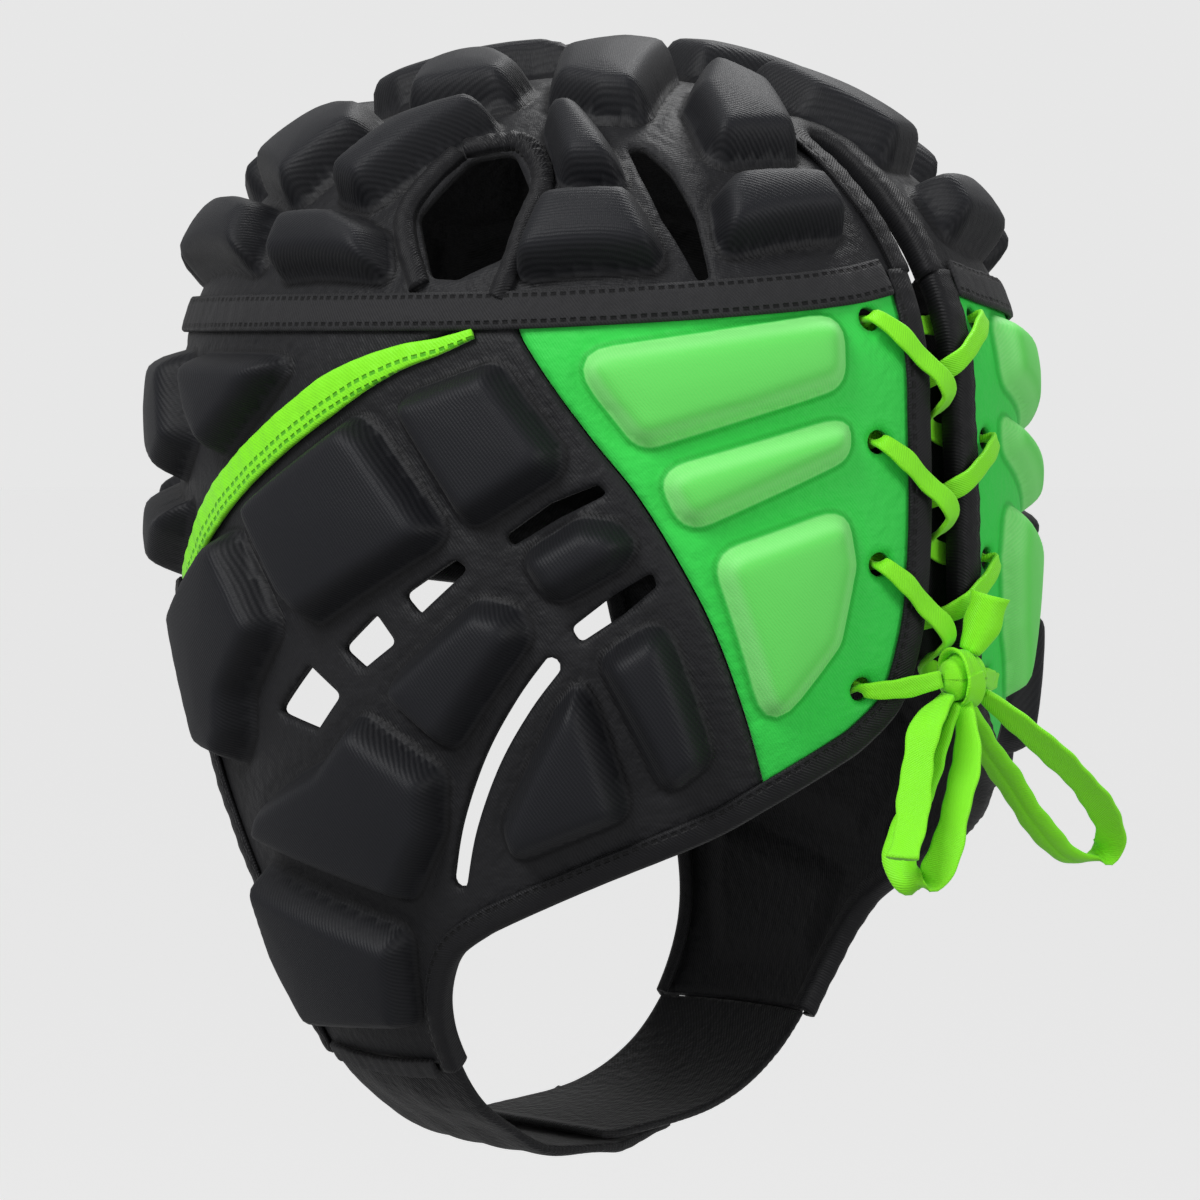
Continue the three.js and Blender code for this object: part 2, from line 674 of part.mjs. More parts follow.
const BACK_PADS = [
  { pad: 'high', corners: [[81, 118], [25, 110], [26, 123], [67, 136]] },
  { pad: 'middle', corners: [[63, 142], [25, 131], [25, 138], [58, 153]] },
  { pad: 'low', corners: [[52, 159], [26, 150], [24, 161], [27, 177], [40, 195]] },
];
const EYELETS = [[17, 110], [17, 135.5], [17, 161], [20, 187]];

function backOutline() {
  const top = span(bandLine, 0, SEAM_TOP[0]);
  return closed(slitEdge, backCorner, lowerBack, backSeam.slice().reverse(), top.reverse());
}

addPair('back_panel', sheet(SIDE_CHART, {
  outline: backOutline(),
  vents: EYELETS.map((centre) => circle(centre, EYELET_RADIUS)),
  pads: BACK_PADS.map(({ corners }) => closed(corners)),
  rise: BACK_PAD_RISE,
}), 'green');

// Tapes

const OVER_WALL = WALL + CLEARANCE;

// The band over the seam between the crown and the panels below it
const BAND_END = [SLIT_HALF_WIDTH + BINDING_LEG + 2.5 * CLEARANCE, BAND_BACK[1] + 0.6];
const bandHalf = smooth([BAND_END, ...BAND_LINE.slice(1)]);
add('head_band', tape(
  SIDE_CHART,
  [...bandHalf, ...acrossBrow(bandHalf).reverse().slice(1)],
  () => flatTape(BAND_WIDTH / 2, OVER_WALL),
), 'black');

// Piping, narrow at its ends and wide over the ear
const pipingRun = smooth([[109, 115.6], [122, 118.8], ...PIPING_LINE.slice(2, -1), [203, 168.5]]);
addPair('piping', tape(SIDE_CHART, pipingRun, (share) => {
  const half = (PIPING_WIDTH / 2) * Math.min(1, 0.35 + 2.2 * share, 0.6 + 1.6 * (1 - share));
  return flatTape(half, OVER_WALL);
}), 'lime');

// Binding of the slit in the crown, of the lacing gap and lower edge, and of the face opening
add('slit_binding', tape(
  CROWN_CHART,
  [...slitHalf.slice().reverse(), [0, SLIT_TOP], ...mirrorLine(slitHalf)],
  () => foldedTape(WALL),
), 'black');

const rimLine = [...slitEdge.slice(0, -1), ...backCorner, ...lowerEdge.slice(1), ...strapRear.slice(1)];
addPair('rim_binding', tape(SIDE_CHART, rimLine.reverse(), () => foldedTape(WALL)), 'black');

addPair('face_binding', tape(SIDE_CHART, faceEdge.slice(1), () => foldedTape(WALL)), 'black');

const brow = browEdge.slice(1);
add('brow_binding', tape(
  SIDE_CHART,
  [...brow, ...acrossBrow(brow).reverse().slice(1)].reverse(),
  () => foldedTape(WALL),
), 'black');

// Chin strap

// The left strap passes outside the right tab and fastens to it, hook to loop, under the chin
const STRAP_TOP = STRAP_DOWN + SEAM_GAP;
const STRAP_FRONT = [
  [STRAP_FRONT_FOOT[0], STRAP_TOP], [192, 292], [203, 315], [213, 338], [216, 360], [212, 384],
];
const STRAP_BACK = [
  [STRAP_REAR_FOOT[0], STRAP_TOP], [120, 296], [121, 320], [124, 345], [134, 370],
];
const LIFT_START = 300;
const LIFT_END = 322;
const TAB_END = 352;
const STRAP_FACET = 18;

// The strap leaves the head where it starts to lie on the tab
function strapLift(round, down) {
  return (TAB_WALL + 2 * CLEARANCE) * THREE.MathUtils.smoothstep(down, LIFT_START, LIFT_END);
}
const strapChart = chartOf(sidePoint, strapLift);

const strapFront = smooth(STRAP_FRONT);
const strapBack = smooth(STRAP_BACK);
add('chin_strap', sheet(strapChart, {
  outline: closed(strapFront, strapBack.slice().reverse()),
  wall: STRAP_WALL,
  facet: STRAP_FACET,
}), 'black');

function untilTabEnd(line) {
  const kept = line.filter(([, down]) => down < TAB_END);
  const [from, to] = [kept[kept.length - 1], line[kept.length]];
  const part = (TAB_END - from[1]) / (to[1] - from[1]);
  return [...kept, [THREE.MathUtils.lerp(from[0], to[0], part), TAB_END]];
}
add('chin_tab', mirrored(sheet(SIDE_CHART, {
  outline: closed(untilTabEnd(strapFront), untilTabEnd(strapBack).reverse()),
  wall: TAB_WALL,
  facet: STRAP_FACET,
})), 'black');

// Tape over each seam between cheek and strap, from binding to binding
const seamInset = 1.5 * (BINDING_LEG + CLEARANCE);
addPair('seam_tape', tape(
  SIDE_CHART,
  smooth([
    [STRAP_FRONT_FOOT[0] - seamInset, STRAP_DOWN],
    [153, STRAP_DOWN + 1],
    [STRAP_REAR_FOOT[0] + seamInset, STRAP_DOWN],
  ]),
  () => flatTape(SEAM_TAPE_WIDTH / 2, OVER_WALL),
), 'black');

// Tongue behind the lacing, sewn to the left back panel along one side

const LACE_DEPTH = CLEARANCE + TAPE_WALL + CLEARANCE + LACE_THICKNESS + CLEARANCE;
const TONGUE_OUTLINE = [[-22, 115], [33, 115], [35, 150], [33, 184], [-20, 184], [-22, 150]];
const TONGUE_SEAM = 24;
const TONGUE_SEAM_WIDTH = 5;

function tongueLift(round) {
  const free = 1 - THREE.MathUtils.smoothstep(round, TONGUE_SEAM, TONGUE_SEAM + TONGUE_SEAM_WIDTH);
  return -TONGUE_WALL - 2.6 * CLEARANCE - free * (LACE_DEPTH - CLEARANCE);
}
add('tongue', sheet(chartOf(sidePoint, tongueLift), {
  outline: ringOf(closed(TONGUE_OUTLINE), 4),
  wall: TONGUE_WALL,
  facet: 20,
}), 'black');

// Lace

const laceHalf = LACE_THICKNESS / 2;
const OUTSIDE = WALL + CLEARANCE + TAPE_WALL + CLEARANCE + laceHalf;
const INSIDE = -(CLEARANCE + TAPE_WALL + CLEARANCE + laceHalf);

// Runs from an eyelet over the edge, through the gap and behind the other edge to the next
// eyelet down. Columns: steps to the starting side of the middle, share of the way down to
// the next row, and height in steps of the way from the inside (0) to the outside (1) face
const OVER_RUN = [
  { side: 1, down: 0, height: 0.02, eyelet: true },
  { side: 1, down: 0, height: 0.5, eyelet: true },
  { side: 1, down: 0.01, height: 0.88, eyelet: true },
  { side: 12.5, down: 0.16, height: 1.04 },
  { side: 8, down: 0.34, height: 1.06 },
  { side: 4, down: 0.48, height: 1.18 },
  { side: 1.6, down: 0.6, height: 1.12 },
  { side: 0.9, down: 0.69, height: 0.85 },
  { side: 0.2, down: 0.76, height: 0.5 },
  { side: -0.5, down: 0.83, height: 0.1 },
  { side: -3, down: 0.9, height: -0.06 },
  { side: -8, down: 0.96, height: -0.06 },
  { side: -13, down: 0.99, height: -0.04 },
];
const UNDER_RUN = [
  { side: 1, down: 0, height: 0.02, eyelet: true },
  { side: 1, down: 0, height: 0.5, eyelet: true },
  { side: 1, down: 0.01, height: 0.88, eyelet: true },
  { side: 12.5, down: 0.12, height: 1.02 },
  { side: 8, down: 0.24, height: 1.03 },
  { side: 4.4, down: 0.33, height: 1.02 },
  { side: 1.8, down: 0.4, height: 0.8 },
  { side: -0.2, down: 0.46, height: 0.4 },
  { side: -1.8, down: 0.51, height: 0 },
  { side: -5, down: 0.59, height: -0.07 },
  { side: -10, down: 0.78, height: -0.07 },
  { side: -14, down: 0.94, height: -0.04 },
];

// The knot stands over the gap between the lowest eyelets, on its back against the lace
const knotHeight = OUTSIDE + KNOT_HALF_DEPTH;
const knotCentre = SIDE_CHART.place(0, EYELETS[3][1] - 3, knotHeight);

// One strand of the lace from the bar inside the top eyelets down to the knot. The sign says on
// which side it starts
function strandStations(sign) {
  const stops = [{ a: 0.5 * sign, b: EYELETS[0][1], height: INSIDE }];
  stops.push({ a: sign * 8, b: EYELETS[0][1], height: INSIDE });
  stops.push({ a: sign * (EYELETS[0][0] - 2), b: EYELETS[0][1], height: INSIDE });
  let side = sign;
  for (let row = 0; row + 1 < EYELETS.length; row += 1) {
    const run = side > 0 ? OVER_RUN : UNDER_RUN;
    const [startSide, startDown] = EYELETS[row];
    for (const stop of run) {
      const away = stop.eyelet ? startSide * stop.side : stop.side;
      stops.push({
        a: side * away,
        b: THREE.MathUtils.lerp(startDown, EYELETS[row + 1][1], stop.down),
        height: THREE.MathUtils.lerp(INSIDE, OUTSIDE, stop.height),
        eyelet: stop.eyelet,
      });
    }
    side = -side;
  }
  const [lastSide, lastDown] = EYELETS[EYELETS.length - 1];
  const atKnot = (knotHeight - INSIDE) / (OUTSIDE - INSIDE);
  const end = [
    { away: lastSide, down: 0, height: 0.02, eyelet: true },
    { away: lastSide, down: 0, height: 0.5, eyelet: true },
    { away: lastSide, down: -0.3, height: 0.9, eyelet: true },
    { away: lastSide - 4, down: -0.6, height: 1.05 },
    { away: lastSide - 8, down: -1.4, height: THREE.MathUtils.lerp(1.1, atKnot, 0.4) },
  ];
  for (const stop of end) {
    const height = THREE.MathUtils.lerp(INSIDE, OUTSIDE, stop.height);
    stops.push({ a: side * stop.away, b: lastDown + stop.down, height, eyelet: stop.eyelet });
  }
  const stations = stops.map((stop, i) => {
    const before = stops[Math.max(i - 1, 0)];
    const after = stops[Math.min(i + 1, stops.length - 1)];
    const { alongA, alongB, normal } = SIDE_CHART.frame(stop.a, stop.b);
    const along = alongA.multiplyScalar(after.a - before.a).addScaledVector(alongB, after.b - before.b);
    return {
      point: SIDE_CHART.place(stop.a, stop.b, stop.height),
      across: new THREE.Vector3().crossVectors(normal, along).normalize(),
      share: stop.eyelet ? 0.75 : 1,
    };
  });
  const reach = new THREE.Vector3(side * (KNOT_HALF_WIDTH + CLEARANCE), 0, 0);
  stations.push({ point: reach.add(knotCentre), across: new THREE.Vector3(0, 0, side) });
  return stations;
}
add('lace_strand_left', ribbon(strandStations(1), LACE_WIDTH, LACE_THICKNESS), 'lime');
add('lace_strand_right', ribbon(strandStations(-1), LACE_WIDTH, LACE_THICKNESS), 'lime');

// Bow

function knot() {
  const ball = new THREE.SphereGeometry(1, 10, 6);
  ball.deleteAttribute('normal');
  ball.deleteAttribute('uv');
  ball.scale(KNOT_HALF_WIDTH, KNOT_HALF_DEPTH, KNOT_HALF_HEIGHT);
  ball.translate(knotCentre.x, knotCentre.y, knotCentre.z);
  return mergeVertices(ball, 1e-3);
}
add('lace_knot', knot(), 'lime');

// Routes of the bow's free parts, from the knot's middle, in millimetres to the wearer's left,
// back and up. The ends that lie in the knot give only the direction in which they leave it
const LOOP_LEFT = [
  [0.8, 1.6, -7.2], [4, 5, -16], [9, 6.5, -26], [13, 6.5, -36], [17, 5, -42], [20, 2, -41],
  [19, -1, -36], [14, -2, -28], [9, -1.6, -18], [2.8, -0.9, -7.6],
];
const LOOP_RIGHT = [
  [-5.6, 2.4, -4.6], [-14, 7, -12], [-24, 9.5, -20], [-34, 9.5, -28], [-42, 7, -36], [-43, 3, -41],
  [-36, 0, -41], [-26, -1, -33], [-17, -1.5, -23], [-8, -1.5, -14], [-2, -1, -7],
];
const END_LEFT = [[5.6, 0.6, -4], [13, 1, -10], [17, 2, -20], [21, 4, -30], [26, 6, -36]];
const END_UP = [[-1.6, 0.6, 6], [-3, 2.5, 11], [-4, 4, 17.5]];

// The point where a part of the bow that leaves in a direction comes out of the knot
function outOfKnot([x, y, z]) {
  const size = Math.hypot(x / KNOT_HALF_WIDTH, y / KNOT_HALF_DEPTH, z / KNOT_HALF_HEIGHT);
  return new THREE.Vector3(x, y, z).multiplyScalar(1 / size + CLEARANCE / Math.hypot(x, y, z));
}

function freeLace(route, isLoop) {
  const offsets = route.map((offset, i) => (
    i === 0 || (isLoop && i === route.length - 1) ? outOfKnot(offset) : new THREE.Vector3(...offset)));
  const curve = new THREE.CatmullRomCurve3(offsets.map((offset) => offset.add(knotCentre)));
  const count = Math.round(curve.getLength() / FREE_LACE_STEP);
  return curve.getSpacedPoints(count).map((point, i) => ({
    point,
    across: new THREE.Vector3(0, 1, 0),
    share: i === 0 || (isLoop && i === count) ? GATHERED : 1,
  }));
}
add('bow_loop_left', ribbon(freeLace(LOOP_LEFT, true), BOW_LACE_WIDTH, LACE_THICKNESS), 'lime');
add('bow_loop_right', ribbon(freeLace(LOOP_RIGHT, true), BOW_LACE_WIDTH, LACE_THICKNESS), 'lime');
add('bow_end_left', ribbon(freeLace(END_LEFT, false), BOW_LACE_WIDTH, LACE_THICKNESS), 'lime');
add('bow_end_up', ribbon(freeLace(END_UP, false), BOW_LACE_WIDTH, LACE_THICKNESS), 'lime');

export default cap;
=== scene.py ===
import math

import bmesh
import bpy
import numpy as np
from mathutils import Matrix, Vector
from mathutils.geometry import delaunay_2d_cdt


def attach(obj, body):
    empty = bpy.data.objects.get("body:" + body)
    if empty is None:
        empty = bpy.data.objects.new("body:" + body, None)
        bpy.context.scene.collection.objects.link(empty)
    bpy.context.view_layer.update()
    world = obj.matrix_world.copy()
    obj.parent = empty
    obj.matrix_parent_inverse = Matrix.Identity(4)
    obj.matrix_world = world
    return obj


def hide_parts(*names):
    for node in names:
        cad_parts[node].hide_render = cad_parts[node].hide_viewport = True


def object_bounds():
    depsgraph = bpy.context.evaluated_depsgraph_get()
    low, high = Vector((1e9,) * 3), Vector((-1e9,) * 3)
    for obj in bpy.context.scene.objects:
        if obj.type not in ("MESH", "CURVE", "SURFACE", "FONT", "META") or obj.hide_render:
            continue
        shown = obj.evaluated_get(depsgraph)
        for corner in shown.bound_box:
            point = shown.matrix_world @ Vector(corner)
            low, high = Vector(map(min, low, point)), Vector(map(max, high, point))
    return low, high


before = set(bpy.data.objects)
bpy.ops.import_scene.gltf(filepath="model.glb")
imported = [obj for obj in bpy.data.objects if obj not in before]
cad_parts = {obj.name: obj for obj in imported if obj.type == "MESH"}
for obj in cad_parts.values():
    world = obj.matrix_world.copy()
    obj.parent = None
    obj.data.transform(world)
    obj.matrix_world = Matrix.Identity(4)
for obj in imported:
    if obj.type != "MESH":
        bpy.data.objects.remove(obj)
cad_low, cad_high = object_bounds()

# The camera looks from behind and a little above, past the wearer's left shoulder.
# It stands 1.1 m from the middle of the head, where one pixel of the picture is 0.228 mm.
AZIMUTH = math.radians(134.5)
ELEVATION = math.radians(3.4)
CAMERA_DISTANCE = 1.1
MM_PER_PIXEL = 0.228
SENSOR_WIDTH = 36
PICTURE_HALF = 600
AXIS_PIXEL = 584
CROWN_PIXEL = 91
back = Vector((
    math.sin(AZIMUTH) * math.cos(ELEVATION),
    -math.cos(AZIMUTH) * math.cos(ELEVATION),
    math.sin(ELEVATION),
))
right = Vector((math.cos(AZIMUTH), math.sin(AZIMUTH), 0))
target = right * ((PICTURE_HALF - AXIS_PIXEL) * MM_PER_PIXEL / 1000)
target.z = -(PICTURE_HALF - CROWN_PIXEL) * MM_PER_PIXEL / 1000
camera_data = bpy.data.cameras.new("camera")
camera_data.sensor_width = SENSOR_WIDTH
camera_data.lens = SENSOR_WIDTH / 2 * CAMERA_DISTANCE / (PICTURE_HALF * MM_PER_PIXEL / 1000)
camera_data.clip_start = 0.05
camera_data.clip_end = 30
camera = bpy.data.objects.new("camera", camera_data)
camera.location = target + back * CAMERA_DISTANCE
camera.rotation_mode = "QUATERNION"
camera.rotation_quaternion = (-back).to_track_quat("-Z", "Y")
bpy.context.scene.collection.objects.link(camera)
bpy.context.scene.camera = camera

# The floor is plain, pale and wide, and as bright as the room, so that no horizon shows.
# It lies well below the chin strap, because the cap is held up as a head holds it.
FLOOR_LEVEL = cad_low.z - 0.9
FLOOR_REACH = 60.0
FLOOR_COLOUR = (0.93, 0.93, 0.93, 1)
FLOOR_GLOW = 0.40
floor_mesh = bpy.data.meshes.new("floor")
floor_mesh.from_pydata(
    [(x * FLOOR_REACH, y * FLOOR_REACH, FLOOR_LEVEL) for x, y in ((-1, -1), (1, -1), (1, 1), (-1, 1))],
    [], [(0, 1, 2, 3)],
)
floor = bpy.data.objects.new("floor", floor_mesh)
bpy.context.scene.collection.objects.link(floor)
floor_material = bpy.data.materials.new("pale_floor")
floor_material.use_nodes = True
floor_shader = floor_material.node_tree.nodes["Principled BSDF"]
floor_shader.inputs["Base Color"].default_value = FLOOR_COLOUR
floor_shader.inputs["Roughness"].default_value = 0.95
floor_shader.inputs["Specular IOR Level"].default_value = 0.1
floor_mesh.materials.append(floor_material)
floor_shader.inputs["Emission Color"].default_value = (1, 1, 1, 1)
floor_shader.inputs["Emission Strength"].default_value = FLOOR_GLOW
floor.visible_diffuse = False
floor.visible_glossy = False

# Soft studio light: a pale room, a large soft box above on the left, one beside the camera
# for the lacing, one behind the cap for its upper edge, and a low one for the chin strap.
bpy.context.scene.view_settings.view_transform = "Standard"
world = bpy.data.worlds.new("studio")
bpy.context.scene.world = world
world.use_nodes = True
ROOM_LIGHT = 0.42
ROOM_SEEN = 0.80
room = world.node_tree.nodes["Background"]
room.inputs["Color"].default_value = (1, 1, 1, 1)
seen = world.node_tree.nodes.new("ShaderNodeLightPath")
strength = world.node_tree.nodes.new("ShaderNodeMapRange")
strength.inputs["To Min"].default_value = ROOM_LIGHT
strength.inputs["To Max"].default_value = ROOM_SEEN
world.node_tree.links.new(seen.outputs["Is Camera Ray"], strength.inputs["Value"])
world.node_tree.links.new(strength.outputs["Result"], room.inputs["Strength"])
SOFT_BOXES = [
    {"name": "key", "aside": -0.9, "up": 1.2, "towards": 0.9, "size": 0.8, "watts": 24},
    {"name": "lacing", "aside": 1.3, "up": 0.35, "towards": 1.0, "size": 0.6, "watts": 9},
    {"name": "rim", "aside": 0.4, "up": 1.5, "towards": -0.9, "size": 0.8, "watts": 20},
    {"name": "low", "aside": -0.5, "up": -0.12, "towards": 1.3, "size": 0.5, "watts": 1.5},
]
for box in SOFT_BOXES:
    light = bpy.data.lights.new(box["name"], "AREA")
    light.size = box["size"]
    light.energy = box["watts"]
    lamp = bpy.data.objects.new(box["name"], light)
    place = target + right * box["aside"] + back * box["towards"]
    place.z = target.z + box["up"]
    lamp.location = place
    lamp.rotation_mode = "QUATERNION"
    lamp.rotation_quaternion = (target - place).to_track_quat("-Z", "Y")
    bpy.context.scene.collection.objects.link(lamp)

# The crown is one domed panel of black twill knit, laminated over a thin foam, with fourteen
# thick foam pads a side pressed under it. Two vents a side are cut through it, a slit runs
# down its back, and its lower edge is sewn to the panels below.

# The head that the cap is shaped on, in millimetres. Patterns lie on it by steps round and down.
HALF_WIDTH = 82
FRONT_REACH = 97
BACK_REACH = 104
CROWN_DROP = 70
CHIN_DROP = 236.5
CROWN_SHIFT = 6
CROWN_POWER = 2.08
ROUND_STEPS = 287
DOWN_STEPS = 346
SIDE_STATIONS = [
    {"down": 0, "width": 1, "front": 1, "back": 1},
    {"down": 0.18, "width": 1.01, "front": 1, "back": 1.01},
    {"down": 0.36, "width": 0.99, "front": 0.97, "back": 0.99},
    {"down": 0.54, "width": 0.94, "front": 0.89, "back": 0.91},
    {"down": 0.72, "width": 0.84, "front": 0.76, "back": 0.77},
    {"down": 0.84, "width": 0.73, "front": 0.66, "back": 0.65},
    {"down": 0.93, "width": 0.57, "front": 0.6, "back": 0.58},
    {"down": 0.98, "width": 0.35, "front": 0.56, "back": 0.54},
    {"down": 1, "width": 0, "front": 0.55, "back": 0.53},
]


def spline(points, count):
    """Points of a smooth curve through the given ones, evenly spread by its own measure."""
    points = np.asarray(points, float)
    t = np.linspace(0, len(points) - 1, count)
    i = np.minimum(t.astype(int), len(points) - 2)
    w = (t - i)[:, None]
    before, here = points[np.maximum(i - 1, 0)], points[i]
    there, after = points[i + 1], points[np.minimum(i + 2, len(points) - 1)]
    leave, arrive = (there - before) / 2, (after - here) / 2
    return (
        (2 * here - 2 * there + leave + arrive) * w ** 3
        + (3 * there - 3 * here - 2 * leave - arrive) * w ** 2
        + leave * w + here
    )


angles = np.linspace(0, math.pi / 2, 61)
spread = np.sin(angles) ** (2 / CROWN_POWER)
rise = np.cos(angles).clip(0) ** (2 / CROWN_POWER)
crown_rows = np.stack([CROWN_DROP * (1 - rise), spread, spread, spread, 1 - spread], -1)
stations = spline([[s["down"], s["width"], s["front"], s["back"]] for s in SIDE_STATIONS], 97)[1:]
side_rows = np.column_stack([
    CROWN_DROP + (CHIN_DROP - CROWN_DROP) * stations[:, 0], stations[:, 1:], np.zeros(len(stations)),
])
form = np.vstack([crown_rows, side_rows])
mean_radius = (2 * HALF_WIDTH + FRONT_REACH + BACK_REACH) / 4
form_along = np.append(0, np.cumsum(np.hypot(np.diff(form[:, 0]), np.diff(form[:, 1]) * mean_radius)))
form_along /= form_along[-1]
turns = np.radians(np.arange(181))
turn_steps = np.hypot(
    np.diff(HALF_WIDTH * np.sin(turns)),
    np.where(turns[1:] <= math.pi / 2, BACK_REACH, FRONT_REACH) * np.diff(np.cos(turns)),
)
turn_along = np.append(0, np.cumsum(turn_steps))
turn_along /= turn_along[-1]


def turn_at(steps):
    size = np.abs(steps) / ROUND_STEPS
    turn = np.where(
        size > 1, 2 * math.pi - np.interp(2 - size, turn_along, turns), np.interp(size, turn_along, turns)
    )
    return np.sign(steps) * turn


def head_point(turn, down):
    over = down > DOWN_STEPS
    turn = np.where(over, -turn, turn)
    down = np.clip(np.where(over, 2 * DOWN_STEPS - down, down), 0, None) / DOWN_STEPS
    drop, width, front, rear, shift = (np.interp(down, form_along, form[:, k]) for k in range(5))
    reach = np.where(np.cos(turn) > 0, BACK_REACH * rear, FRONT_REACH * front)
    x = HALF_WIDTH * width * np.sin(turn)
    return np.stack([x, CROWN_SHIFT * shift + reach * np.cos(turn), -drop], -1)


def side_point(steps):
    return head_point(turn_at(steps[:, 0]), steps[:, 1])


def crown_point(steps):
    return head_point(np.arctan2(steps[:, 0], steps[:, 1]), np.hypot(steps[:, 0], steps[:, 1]))


def directions(point_at, steps):
    """How a point on the head moves for one step either way, and the outward normal."""
    half_a, half_b = np.array([0.5, 0]), np.array([0, 0.5])
    along_a = point_at(steps + half_a) - point_at(steps - half_a)
    along_b = point_at(steps + half_b) - point_at(steps - half_b)
    normal = np.cross(along_a, along_b)
    return along_a, along_b, normal / np.linalg.norm(normal, axis=1)[:, None]


def lay(point_at, steps, height):
    """Points at a height in millimetres over the head."""
    steps = np.asarray(steps, float)
    normal = directions(point_at, steps)[2]
    return point_at(steps) + normal * np.broadcast_to(height, len(steps))[:, None]


# Outlines are smooth lines between the places where seams meet, and pads have round corners.
SEAM_GAP = 0.4
SAME_POINT = 0.5


def smooth(points, step=1.6):
    fine = spline(points, 40 * (len(points) - 1) + 1)
    along = np.append(0, np.cumsum(np.linalg.norm(np.diff(fine, axis=0), axis=1)))
    count = max(2, int(round(along[-1] / step)) + 1)
    even = np.linspace(0, along[-1], count)
    return np.stack([np.interp(even, along, fine[:, k]) for k in range(fine.shape[1])], -1)


def area_of(ring):
    x, y = ring[:, 0], ring[:, 1]
    return 0.5 * np.sum(x * np.roll(y, -1) - y * np.roll(x, -1))


def closed(*lines):
    ring = np.vstack([np.asarray(line, float) for line in lines])
    kept = [ring[0]]
    for point in ring[1:]:
        if np.linalg.norm(point - kept[-1]) > SAME_POINT:
            kept.append(point)
    if np.linalg.norm(kept[0] - kept[-1]) <= SAME_POINT:
        kept.pop()
    ring = np.array(kept)
    return ring if area_of(ring) > 0 else ring[::-1]


def inset(ring, depth):
    before = ring - np.roll(ring, 1, 0)
    after = np.roll(ring, -1, 0) - ring
    before /= np.linalg.norm(before, axis=1)[:, None]
    after /= np.linalg.norm(after, axis=1)[:, None]
    scale = depth / np.maximum(0.35, 1 + np.sum(before * after, 1))
    both = before + after
    return ring + np.stack([-both[:, 1], both[:, 0]], -1) * scale[:, None]


def rounded(corners, radius, arc_points=6):
    """A closed ring whose corners are arcs of about the given radius."""
    corners = closed(corners)
    ring = []
    for i, here in enumerate(corners):
        last, following = corners[i - 1], corners[(i + 1) % len(corners)]
        to_last, to_next = last - here, following - here
        long_last, long_next = np.linalg.norm(to_last), np.linalg.norm(to_next)
        turn = math.pi - math.acos(np.clip(to_last @ to_next / (long_last * long_next), -1, 1))
        reach = radius * math.tan(turn / 2)
        start = here + to_last * min(reach / long_last, 0.4)
        end = here + to_next * min(reach / long_next, 0.4)
        for t in np.linspace(0, 1, arc_points):
            ring.append((1 - t) ** 2 * start + 2 * t * (1 - t) * here + t ** 2 * end)
    return np.array(ring)


def divided(ring, step):
    """Adds points so that no side of a closed ring is longer than a step."""
    following = np.roll(ring, -1, 0)
    parts = []
    for here, there in zip(ring, following):
        count = max(1, int(math.ceil(np.linalg.norm(there - here) / step)))
        parts.append(here + (there - here) * (np.arange(count) / count)[:, None])
    return np.vstack(parts)


def depth_in(ring, points):
    """Distance of points from a closed ring, positive inside it."""
    best = np.full(len(points), 1e9)
    inside = np.zeros(len(points), bool)
    for a, b in zip(ring, np.roll(ring, -1, 0)):
        side = b - a
        to = points - a
        t = np.clip(to @ side / max(side @ side, 1e-12), 0, 1)
        best = np.minimum(best, np.sum((to - t[:, None] * side) ** 2, 1))
        if a[1] != b[1]:
            crosses = (a[1] > points[:, 1]) != (b[1] > points[:, 1])
            inside ^= crosses & (points[:, 0] < a[0] + side[0] * (points[:, 1] - a[1]) / side[1])
    return np.sqrt(best) * np.where(inside, 1, -1)


def near(ring, points, reach):
    low, high = ring.min(0) - reach, ring.max(0) + reach
    return np.all((points > low) & (points < high), axis=1)


def mirror(ring):
    return np.asarray(ring, float) * [-1, 1]


# The knit dips round each pad's foot, swells over its shoulder and rolls in at a cut edge.
WALL = 2.6
PAD_CORNER = 5
PAD_REACH = 12
NO_PAD = -30.0
ROW_SHARE = 0.866
DIP_DEPTH = 0.35
DIP_AWAY = 1.0
DIP_WIDTH = 1.3
ROLL_WIDTH = 0.8
ROLL_OUTSIDE = 0.55
ROLL_INSIDE = 0.45
EDGE_DROP = 0.1
SMOOTHING = 0.35
INSIDE_SHIFT = 40


def link_piece(name, mesh, material, nodes):
    """Puts a finished mesh in the scene in place of its CAD nodes."""
    piece = bpy.data.objects.new(name, mesh)
    bpy.context.scene.collection.objects.link(piece)
    mesh.materials.append(material)
    mesh.shade_smooth()
    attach(piece, "root")
    if nodes:
        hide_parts(*nodes)
    return piece


def give(mesh, name, values):
    """Stores numbers on a mesh's points, for its material to read."""
    values = np.asarray(values, np.float32)
    kind = "FLOAT_VECTOR" if values.ndim == 2 else "FLOAT"
    layer = mesh.attributes.new(name, kind, "POINT")
    layer.data.foreach_set("vector" if values.ndim == 2 else "value", values.ravel())


def triangles_of(rings, points):
    """Triangles between closed rings and loose points: the first ring holds the others."""
    verts = np.vstack([*rings, points])
    edges = []
    start = 0
    for ring in rings:
        count = len(ring)
        edges += [(start + i, start + (i + 1) % count) for i in range(count)]
        start += count
    made = delaunay_2d_cdt([Vector(p) for p in verts], edges, [], 0, 1e-6, False)
    flat = np.array([(p.x, p.y) for p in made[0]])
    faces = np.array(made[2])
    return flat, faces


